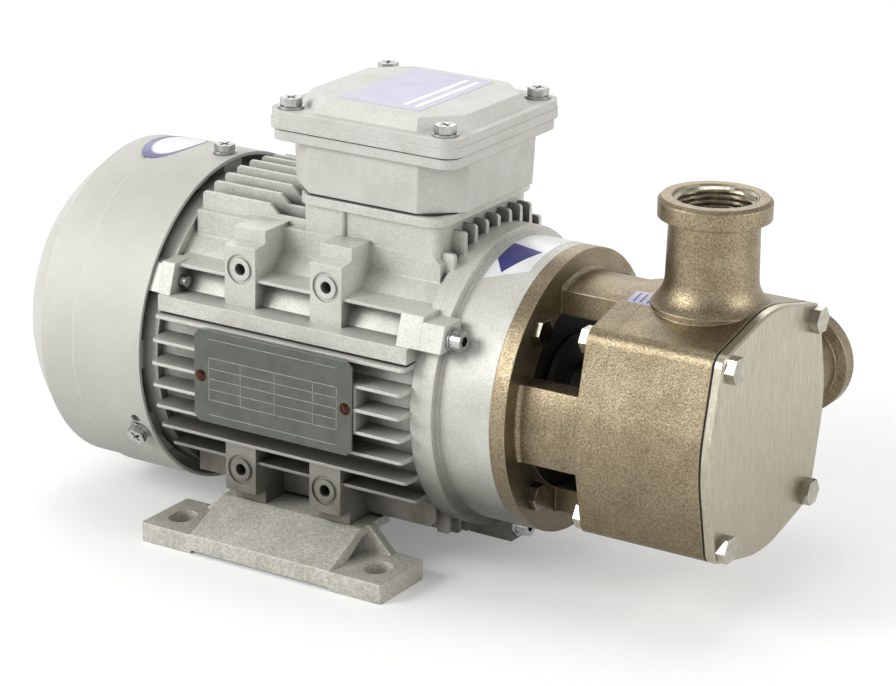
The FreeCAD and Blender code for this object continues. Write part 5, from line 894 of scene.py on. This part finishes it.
@dataclass(frozen=True)
class Film:
    """A thin film or inlay laid on a surface."""

    name: str
    outline: tuple[tuple[float, float], ...]
    place: Place
    finish: Finish
    base: float = 0.0
    thickness: float = FILM_THICKNESS
    pitch: tuple[float, float] = (4.0, 4.0)

    def build(self) -> bpy.types.Object:
        """Builds the closed film.

        Returns:
            The piece, riding on the casing.
        """
        mesh = bmesh.new()
        mesh.faces.new([mesh.verts.new((u, v, self.base)) for u, v in self.outline])
        for axis in (0, 1):
            values = [corner[axis] for corner in self.outline]
            step = self.pitch[axis]
            cut = math.floor(min(values) / step) * step + step
            while cut < max(values):
                point, normal = [0.0, 0.0, 0.0], [0.0, 0.0, 0.0]
                point[axis] = cut
                normal[axis] = 1.0
                parts = mesh.verts[:] + mesh.edges[:] + mesh.faces[:]
                bmesh.ops.bisect_plane(mesh, geom=parts, plane_co=point, plane_no=normal)
                cut += step
        made = bmesh.ops.extrude_face_region(mesh, geom=mesh.faces[:], use_keep_orig=True)
        for part in made["geom"]:
            if isinstance(part, bmesh.types.BMVert):
                part.co.z = self.base + self.thickness
        for vert in mesh.verts:
            vert.co = self.place(*vert.co)
        return mesh_object(self.name, mesh, self.finish, Body.CASING)


def oval(centre: tuple[float, float], half: tuple[float, float], count: int = 40):
    """Gives the corners of an oval outline.

    Args:
        centre: Its middle.
        half: Its half lengths.
        count: Number of corners.

    Returns:
        The corners.
    """
    turns = [2.0 * math.pi * i / count for i in range(count)]
    return tuple(
        (centre[0] + half[0] * math.cos(t), centre[1] + half[1] * math.sin(t)) for t in turns
    )


def rectangle(low: tuple[float, float], high: tuple[float, float], corner: float = 0.0):
    """Gives the corners of a rectangle, rounded where corner is above zero.

    Args:
        low: Lowest corner.
        high: Highest corner.
        corner: Corner radius.

    Returns:
        The corners.
    """
    if corner <= 0.0:
        return (low, (high[0], low[1]), high, (low[0], high[1]))
    middles = (
        (high[0] - corner, high[1] - corner, 0.0),
        (low[0] + corner, high[1] - corner, 90.0),
        (low[0] + corner, low[1] + corner, 180.0),
        (high[0] - corner, low[1] + corner, 270.0),
    )
    made = []
    for x, y, start in middles:
        for step in range(CORNER_STEPS + 1):
            turn = math.radians(start + 90.0 * step / CORNER_STEPS)
            made.append((x + corner * math.cos(turn), y + corner * math.sin(turn)))
    return tuple(made)


@dataclass(frozen=True)
class CrossRecess:
    """Cross recesses pressed into the heads of the screws of one CAD node.

    A place is the middle of a head's top with the way that it faces, in mm.
    """

    node: str
    places: tuple[tuple[Vector, Vector], ...]
    finish: Finish
    slot: str
    width: float = 1.3
    length: float = 5.6
    depth: float = 1.7
    taper: float = 0.55
    turn: float = 35.0
    above: float = 0.6

    def cutter(self) -> bpy.types.Object:
        """Builds the tapered crosses that cut the recesses."""
        a, b = self.width / 2.0, self.length / 2.0
        arm = ((a, a), (a, b), (-a, b), (-a, a), (-b, a), (-b, -a))
        outline = arm + tuple((-x, -y) for x, y in arm)
        mesh = bmesh.new()
        for number, (top, out) in enumerate(self.places):
            side = out.orthogonal().normalized()
            side.rotate(Quaternion(out, math.radians(self.turn * (number + 1))))
            other = out.cross(side)
            rings = []
            for scale, rise in ((1.0, self.above), (1.0, 0.0), (self.taper, -self.depth)):
                ring = [top + (side * x + other * y) * scale + out * rise for x, y in outline]
                rings.append([mesh.verts.new(point * MM) for point in ring])
            skin(mesh, rings)
        bmesh.ops.recalc_face_normals(mesh, faces=mesh.faces[:])
        return from_bmesh("recess_cutter", mesh)

    def build(self, source: bpy.types.Object) -> bpy.types.Object:
        """Builds the screws with their recesses in place of the CAD node.

        Args:
            source: The CAD node's object.

        Returns:
            The piece that replaces it.
        """
        mesh = bmesh.new()
        mesh.from_mesh(source.data)
        bmesh.ops.remove_doubles(mesh, verts=mesh.verts[:], dist=WELD)
        name = self.node + "_with_recess"
        piece = mesh_object(name, mesh, self.finish, Body.CASING)
        cutter = self.cutter()
        change = piece.modifiers.new("recess", "BOOLEAN")
        change.object = cutter
        change.solver = "EXACT"
        graph = bpy.context.evaluated_depsgraph_get()
        made = bpy.data.meshes.new_from_object(piece.evaluated_get(graph))
        piece.modifiers.clear()
        piece.data = made
        made.materials.clear()
        made.materials.append(self.finish.material())
        bpy.data.objects.remove(cutter)
        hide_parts(self.node)
        log.info("%s: %d faces after its recesses", name, len(made.polygons))
        return piece


@dataclass
class Assembly:
    """A group of CAD nodes with the finish that each one gets."""

    nodes: dict[str, bpy.types.Object] = field(default_factory=dict)

    def finishes(self) -> dict[str, Finish]:
        """Gives the finish of each CAD node of the group."""
        return {}

    def dress(self) -> None:
        """Puts the finishes on the CAD nodes."""
        for name, finish in self.finishes().items():
            data = self.nodes[name].data
            data.materials.clear()
            data.materials.append(finish.material())
            log.info("%s: %s", name, finish.name)

    def build(self) -> None:
        """Builds the group's own pieces."""


@dataclass
class Motor(Assembly):
    """The finned motor on its two feet, with what turns inside it."""

    def finishes(self) -> dict[str, Finish]:
        """Gives the finish of each CAD node of the motor."""
        made = {
            "motor_frame": MOTOR_CASTING,
            "drive_end_shield": SHIELD_CASTING,
            "rear_end_shield": MOTOR_CASTING,
            "near_foot": FOOT_CASTING,
            "far_foot": FOOT_CASTING,
            "foot_bolts": ZINC_PLATE,
            "end_shield_screws": ZINC_PLATE,
            "shield_screw_washers": ZINC_PLATE,
            "stator_core": LAMINATED_STEEL,
            "stator_windings": VARNISHED_COPPER,
            "rotor_core": RAW_ALUMINIUM,
            "motor_shaft": TURNED_STEEL,
            "shaft_key": TURNED_STEEL,
            "wave_spring": TURNED_STEEL,
            "flange_shaft_seal": NITRILE_RUBBER,
        }
        for end in ("front", "rear"):
            made[end + "_bearing_outer_ring"] = BEARING_STEEL
            made[end + "_bearing_inner_ring"] = BEARING_STEEL
            made[end + "_bearing_balls"] = BEARING_STEEL
            made[end + "_bearing_cage"] = CAGE_NYLON
        return made


@dataclass
class FanEnd(Assembly):
    """The pressed cowl with its screws, and the fan behind its grille."""

    cowl_radius: float = 72.8
    label_middle: tuple[float, float] = (-149.0, 90.0)
    label_half: tuple[float, float] = (10.6, 15.0)
    label_pitch: tuple[float, float] = (3.0, 2.0)
    field_shift: tuple[float, float] = (1.4, -1.6)
    rim_width: tuple[float, float] = (2.0, 2.6)
    ring_width: tuple[float, float] = (0.5, 0.8)
    screw_x: float = -121.9
    screw_angles: tuple[float, ...] = (90.0, 210.0, 330.0)
    screw_top: float = 76.8

    def finishes(self) -> dict[str, Finish]:
        """Gives the finish of each CAD node of the fan end."""
        return {
            "fan_cowl": COWL_SHEET,
            "cowl_screws": ZINC_PLATE,
            "cooling_fan": BLACK_NYLON,
            "fan_retaining_ring": TURNED_STEEL,
        }

    def build(self) -> None:
        """Builds the screws' recesses and the blank oval label on top of the cowl."""
        heads = []
        for angle in self.screw_angles:
            turn = math.radians(angle)
            out = Vector((0.0, math.cos(turn), math.sin(turn)))
            heads.append((Vector((self.screw_x, 0.0, SHAFT_Z)) + out * self.screw_top, out))
        recess = CrossRecess("cowl_screws", tuple(heads), ZINC_PLATE, "zinc_fasteners")
        recess.build(self.nodes["cowl_screws"])
        place = on_barrel(self.cowl_radius)
        rim = oval(self.label_middle, self.label_half)
        middle = tuple(a + b for a, b in zip(self.label_middle, self.field_shift))
        field_half = tuple(a - b for a, b in zip(self.label_half, self.rim_width))
        ring = oval(middle, tuple(a + b for a, b in zip(field_half, self.ring_width)))
        inner = oval(middle, field_half)
        over, thin, pitch = FILM_THICKNESS, INK_THICKNESS, self.label_pitch
        Film("cowl_label", rim, place, BLUE_INK, pitch=pitch).build()
        Film("cowl_label_ring", ring, place, LAVENDER_INK, over, thin, pitch).build()
        Film("cowl_label_field", inner, place, WHITE_FILM, over + thin, thin, pitch).build()


@dataclass
class TerminalBox(Assembly):
    """The box on top of the motor, with its lid, screws and cable gland."""

    lid_top: float = 195.0
    screw_middle_x: float = -24.4
    screw_half: tuple[float, float] = (37.3, 36.8)
    screw_top: float = 194.5
    label_low: tuple[float, float] = (-44.4, -27.4)
    label_high: tuple[float, float] = (-5.4, 31.8)
    label_corner: float = 1.0
    band_starts: tuple[float, ...] = (-11.5, -17.0)
    band_width: float = 2.4
    band_margin: float = 5.0
    band_thickness: float = 0.05

    def finishes(self) -> dict[str, Finish]:
        """Gives the finish of each CAD node of the box."""
        return {
            "terminal_box": BOX_CASTING,
            "terminal_box_gasket": NITRILE_RUBBER,
            "terminal_box_lid": BOX_CASTING,
            "lid_gasket": NITRILE_RUBBER,
            "lid_screws": ZINC_PLATE,
            "lid_screw_washers": ZINC_PLATE,
            "box_screws": ZINC_PLATE,
            "terminal_block": BLACK_NYLON,
            "terminal_studs": TURNED_BRASS,
            "cable_gland": BLACK_NYLON,
            "gland_seal": NITRILE_RUBBER,
        }

    def build(self) -> None:
        """Builds the screws' recesses and the lid's label, a pale field with plain bands."""
        heads = []
        for x in (-1, 1):
            for y in (-1, 1):
                across = self.screw_middle_x + x * self.screw_half[0]
                top = Vector((across, y * self.screw_half[1], self.screw_top))
                heads.append((top, Vector((0.0, 0.0, 1.0))))
        recess = CrossRecess("lid_screws", tuple(heads), ZINC_PLATE, "zinc_fasteners")
        recess.build(self.nodes["lid_screws"])
        place = on_level(self.lid_top)
        label = rectangle(self.label_low, self.label_high, self.label_corner)
        over, thin = FILM_THICKNESS, self.band_thickness
        Film("lid_label", label, place, LAVENDER_INK, pitch=FLAT_PITCH).build()
        low, high = self.label_low[1] + self.band_margin, self.label_high[1] - self.band_margin
        for number, x in enumerate(self.band_starts):
            strip = rectangle((x, low), (x + self.band_width, high), self.label_corner)
            name = f"lid_label_band_{number + 1}"
            Film(name, strip, place, WHITE_FILM, over, thin, FLAT_PITCH).build()


@dataclass
class Nameplate(Assembly):
    """The blank ruled plate riveted to the fins."""

    face_y: float = -74.0
    low: tuple[float, float] = (-84.8, 60.0)
    high: tuple[float, float] = (-6.4, 100.4)
    line: float = 0.32
    line_rise: float = 0.08
    side_margin: float = 7.2
    foot_margin: float = 3.4
    head_margin: float = 3.8
    rows: tuple[float, ...] = (70.0, 74.6, 79.2, 83.8, 88.4)
    left_columns: tuple[float, ...] = (0.0, 16.0, 33.0)
    right_column: float = 12.0

    def finishes(self) -> dict[str, Finish]:
        """Gives the finish of the plate and its rivets."""
        return {"nameplate": PLATE_ANODISED, "nameplate_rivets": BROWNED_COPPER}

    def build(self) -> None:
        """Builds the plate's ruled lines as thin raised strips."""
        place = on_front(self.face_y)
        left, right = self.low[0] + self.side_margin, self.high[0] - self.side_margin
        strips = [((left, z), (right, z + self.line)) for z in self.rows]
        top, bottom = self.rows[-1] + self.line, self.rows[0]
        columns = [left + step for step in self.left_columns]
        for x in columns + [right - self.right_column, right - self.line]:
            strips.append(((x, bottom), (x + self.line, top)))
        for z in (self.low[1] + self.foot_margin, self.high[1] - self.head_margin):
            strips.append(((left, z), (right, z + self.line)))
        for number, (low, high) in enumerate(strips):
            name = f"nameplate_line_{number + 1}"
            shape = rectangle(low, high)
            Film(name, shape, place, PLATE_LINES, 0.0, self.line_rise, FLAT_PITCH).build()


@dataclass
class Lantern(Assembly):
    """The open bracket between motor and pump, with its bolts and the slinger inside."""

    barrel_radius: float = 60.0
    crown_radius: float = 60.0
    crown_axis_z: float = 71.2
    label: tuple = ((28.0, 70.0), (45.6, 70.0), (45.6, 113.0), (28.4, 121.0))
    label_pitch: tuple[float, float] = (20.0, 2.5)
    patch: tuple = ((28.2, 95.5), (43.5, 99.0), (34.5, 116.5), (28.4, 109.0))
    patch_thickness: float = 0.05
    small_low: tuple[float, float] = (87.0, 97.6)
    small_high: tuple[float, float] = (98.0, 106.5)
    small_pitch: tuple[float, float] = (20.0, 2.0)
    rule_starts: tuple[float, ...] = (89.2, 92.2, 95.2)
    rule_width: float = 0.8
    rule_margin: float = 1.2

    def finishes(self) -> dict[str, Finish]:
        """Gives the finish of each CAD node of the lantern."""
        return {
            "lantern_bracket": BLASTED_STAINLESS,
            "flange_bolts": NICKEL_WITH_PAINTED_REFLECTION,
            "bracket_bolts": BOLT_STAINLESS,
            "slinger_ring": NITRILE_RUBBER,
            "grub_screws": BOLT_STAINLESS,
            "pump_shaft": TURNED_STEEL,
        }

    def build(self) -> None:
        """Builds the blank label on the motor's flange and the ruled one on the bracket."""
        barrel = on_barrel(self.barrel_radius)
        over, thin, pitch = FILM_THICKNESS, self.patch_thickness, self.label_pitch
        Film("flange_label", self.label, barrel, WHITE_FILM, pitch=pitch).build()
        Film("flange_label_patch", self.patch, barrel, BLUE_INK, over, thin, pitch).build()
        crown = on_barrel(self.crown_radius, self.crown_axis_z)
        small = rectangle(self.small_low, self.small_high)
        Film("bracket_label", small, crown, LAVENDER_INK, pitch=self.small_pitch).build()
        low, high = self.small_low[1] + self.rule_margin, self.small_high[1] - self.rule_margin
        for number, x in enumerate(self.rule_starts):
            rule = rectangle((x, low), (x + self.rule_width, high))
            name = f"bracket_label_rule_{number + 1}"
            Film(name, rule, crown, BLUE_INK, over, INK_THICKNESS, self.small_pitch).build()


@dataclass(frozen=True)
class PipeThread:
    """A parallel pipe thread cut inside a port."""

    name: str
    centre: tuple[float, float, float]
    axis: Axis
    major: float = 16.63
    depth: float = 1.48
    pitch: float = 2.309
    length: float = 18.5
    steps: int = 48
    run_out_steps: float = 16.0
    flank_share: float = 0.49
    crest_half: float = 0.12
    root_sink: float = 0.3

    def build(self) -> bpy.types.Object:
        """Builds the thread as one closed helical ridge.

        Returns:
            The piece, riding on the casing.
        """
        mesh = bmesh.new()
        turns = self.length / self.pitch - 1.0
        count = int(turns * self.steps)
        out = Vector(self.axis.value)
        side = Vector((1.0, 0.0, 0.0))
        other = out.cross(side)
        half, crest, sink = self.pitch * self.flank_share, self.crest_half, self.root_sink
        low = ((sink, -half), (0.0, -half), (-1.0, -crest))
        profile = low + ((-1.0, crest), (0.0, half), (sink, half))
        rings = []
        for step in range(count + 1):
            turn = 2.0 * math.pi * step / self.steps
            fade = min(1.0, step / self.run_out_steps, (count - step) / self.run_out_steps)
            ring = []
            for reach, shift in profile:
                radius = self.major + (reach * self.depth * fade if reach < 0 else reach)
                drop = self.pitch * (step / self.steps + 0.5) + shift
                point = Vector(self.centre) - out * drop
                point += (side * math.cos(turn) + other * math.sin(turn)) * radius
                ring.append(mesh.verts.new(point * MM))
            rings.append(ring)
        skin(mesh, rings)
        piece = mesh_object(self.name, mesh, CUT_THREAD, Body.CASING)
        return piece


@dataclass
class PumpHead(Assembly):
    """The pump casing with its two ports and all that works inside it."""

    port_x: float = 116.05
    port_face: float = 93.5

    def finishes(self) -> dict[str, Finish]:
        """Gives the finish of each CAD node of the pump head."""
        return {
            "pump_casing": BLASTED_STAINLESS,
            "cover_gasket": NITRILE_RUBBER,
            "end_cover": BRUSHED_STAINLESS,
            "cover_bolts": BOLT_STAINLESS,
            "cam": TURNED_BRONZE,
            "cam_screw": BOLT_STAINLESS,
            "impeller": NITRILE_RUBBER,
            "impeller_hub": TURNED_BRONZE,
            "seal_seat": GROUND_CERAMIC,
            "seal_ring": LAPPED_CARBON,
            "seal_bellows": NITRILE_RUBBER,
            "seal_spring": BOLT_STAINLESS,
        }

    def build(self) -> None:
        """Builds the pipe threads of the outlet and the inlet."""
        up = (self.port_x, 0.0, SHAFT_Z + self.port_face)
        PipeThread("outlet_thread", up, Axis.UP).build()
        far = (self.port_x, self.port_face, SHAFT_Z)
        PipeThread("inlet_thread", far, Axis.FAR).build()


@dataclass(frozen=True)
class SoftBox:
    """A large rectangular studio lamp aimed at a point."""

    name: str
    place: tuple[float, float, float]
    aim: tuple[float, float, float]
    width: float
    height: float
    power: float
    colour: str = WHITE

    def build(self) -> None:
        """Builds the lamp."""
        lamp = bpy.data.lights.new(self.name, "AREA")
        lamp.shape = "RECTANGLE"
        lamp.size, lamp.size_y = self.width, self.height
        lamp.energy = self.power
        lamp.color = linear(self.colour)[:3]
        piece = linked(self.name, lamp)
        piece.location = self.place
        look = Vector(self.aim) - Vector(self.place)
        piece.rotation_euler = look.to_track_quat("-Z", "Y").to_euler()


@dataclass
class Studio:
    """The pale sweep, the lamps and the camera of a plain product picture."""

    floor_half: float = 6.0
    floor_cells: int = 8
    fibre_mm: float = 4.0
    paper_span: tuple[float, float] = (0.3, 0.7)
    paper_tones: tuple[str, str] = ("#EDEDEC", "#F2F2F1")
    paper_glow: float = 0.2
    floor_bounce: str = "#A9A9A8"
    ambient: float = 0.18
    horizon: float = 1.0
    horizon_top: float = 1.0
    azimuth: float = 31.448
    elevation: float = 19.017
    roll: float = 1.062
    target: tuple[float, float, float] = (-6.54, 0.0, 87.965)
    distance: float = 1321.36
    lens: float = 125.635
    sensor: float = 36.0
    clip: tuple[float, float] = (0.01, 50.0)
    lamps: tuple[SoftBox, ...] = (
        SoftBox("key_softbox", (-1.35, -1.7, 1.2), (0.0, 0.0, 0.08), 1.2, 1.2, 36.0),
        SoftBox("top_softbox", (-0.1, 0.2, 2.2), (0.0, 0.0, 0.1), 1.5, 1.5, 11.0),
        SoftBox("back_softbox", (-1.0, 1.6, 1.25), (0.0, 0.0, 0.1), 1.3, 0.9, 8.0),
        SoftBox("side_softbox", (2.0, 0.3, 0.9), (0.0, 0.0, 0.08), 0.9, 1.2, 14.0),
    )

    def backdrop_factor(self, tree):
        """Adds a mask that is one for rays that see the backdrop, straight or by reflection.

        Args:
            tree: The node tree.

        Returns:
            The node and the name of its output.
        """
        path = add(tree, "ShaderNodeLightPath")
        seen = (path, "Is Camera Ray")
        for name in ("Is Glossy Ray", "Is Transmission Ray"):
            links = {0: seen, 1: (path, name)}
            seen = (add(tree, "ShaderNodeMath", {"operation": "MAXIMUM"}, links), "Value")
        return seen

    def world(self) -> None:
        """Builds the surround: white low down like a paper wall, dim above like a ceiling."""
        world = bpy.data.worlds.new("white_surround")
        tree = empty_tree(world)
        coords = add(tree, "ShaderNodeTexCoord")
        place = add(tree, "ShaderNodeSeparateXYZ", links={"Vector": (coords, "Generated")})
        levels = (self.horizon, self.ambient)
        strength = mapped(tree, (place, "Z"), (0.0, self.horizon_top), levels, smooth=True)
        settings = {"Color": linear(WHITE)}
        light = add(tree, "ShaderNodeBackground", settings, {"Strength": strength})
        add(tree, "ShaderNodeOutputWorld", links={"Surface": (light, "Background")})
        bpy.context.scene.world = world

    def floor(self, level: float) -> None:
        """Builds the pale floor, which keeps the object's shadow.

        Args:
            level: Height of the floor in metres.
        """
        mesh = bmesh.new()
        cells = self.floor_cells
        bmesh.ops.create_grid(mesh, x_segments=cells, y_segments=cells, size=self.floor_half)
        for vert in mesh.verts:
            vert.co.z = level
        piece = from_bmesh("studio_floor", mesh)
        made = bpy.data.materials.new("white_paper_sweep")
        tree = empty_tree(made)
        coords = add(tree, "ShaderNodeTexCoord")
        scale = {"Scale": per_metre(self.fibre_mm)}
        fibre = add(tree, "ShaderNodeTexNoise", scale, {"Vector": (coords, "Object")})
        tone = ramp(tree, (fibre, "Fac"), self.paper_span, self.paper_tones)
        matt = {"Roughness": 0.9, "Specular IOR Level": 0.1}
        paper = add(tree, "ShaderNodeBsdfPrincipled", matt, {"Base Color": tone})
        shine = {"Color": linear(WHITE), "Strength": self.paper_glow}
        glow = add(tree, "ShaderNodeEmission", shine)
        lift = add(tree, "ShaderNodeAddShader", links={0: (paper, "BSDF"), 1: (glow, "Emission")})
        seen = self.backdrop_factor(tree)
        dull = add(tree, "ShaderNodeBsdfDiffuse", {"Color": linear(self.floor_bounce)})
        links = {0: seen, 1: (dull, "BSDF"), 2: (lift, "Shader")}
        both = add(tree, "ShaderNodeMixShader", links=links)
        add(tree, "ShaderNodeOutputMaterial", links={"Surface": (both, "Shader")})
        piece.data.materials.append(made)
        piece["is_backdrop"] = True

    def camera(self) -> None:
        """Builds the camera at the picture's viewpoint."""
        turn, tilt, roll = (math.radians(v) for v in (self.azimuth, self.elevation, self.roll))
        look = Vector(
            (-math.sin(turn) * math.cos(tilt), math.cos(turn) * math.cos(tilt), -math.sin(tilt))
        )
        right = Vector((math.cos(turn), math.sin(turn), 0.0))
        up = right.cross(look)
        turned_right = right * math.cos(roll) + up * math.sin(roll)
        turned_up = up * math.cos(roll) - right * math.sin(roll)
        data = bpy.data.cameras.new("picture_camera")
        data.lens = self.lens
        data.sensor_width = self.sensor
        data.sensor_fit = "HORIZONTAL"
        data.clip_start, data.clip_end = self.clip
        piece = linked("picture_camera", data)
        eye = (Vector(self.target) - look * self.distance) * MM
        axes = Matrix((turned_right, turned_up, -look)).transposed()
        piece.matrix_world = Matrix.Translation(eye) @ axes.to_4x4()
        bpy.context.scene.camera = piece

    def build(self, level: float) -> None:
        """Builds the whole studio.

        Args:
            level: Height of the floor in metres.
        """
        bpy.context.scene.view_settings.view_transform = "Standard"
        self.world()
        self.floor(level)
        self.camera()
        for lamp in self.lamps:
            lamp.build()


def main(frame: dict) -> None:
    """Dresses the frame and builds the pieces of each sub-assembly.
    """
    cad_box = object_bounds()
    Studio().build(cad_box[0].z)
    for kind in (Motor, FanEnd, TerminalBox, Nameplate, Lantern, PumpHead):
        group = kind(frame["nodes"])
        group.dress()
        group.build()
        log.info("%s is done", kind.__name__)


if __name__ == "__main__":
    logging.basicConfig(level=logging.INFO, format="%(message)s")
    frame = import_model()
    main(frame)
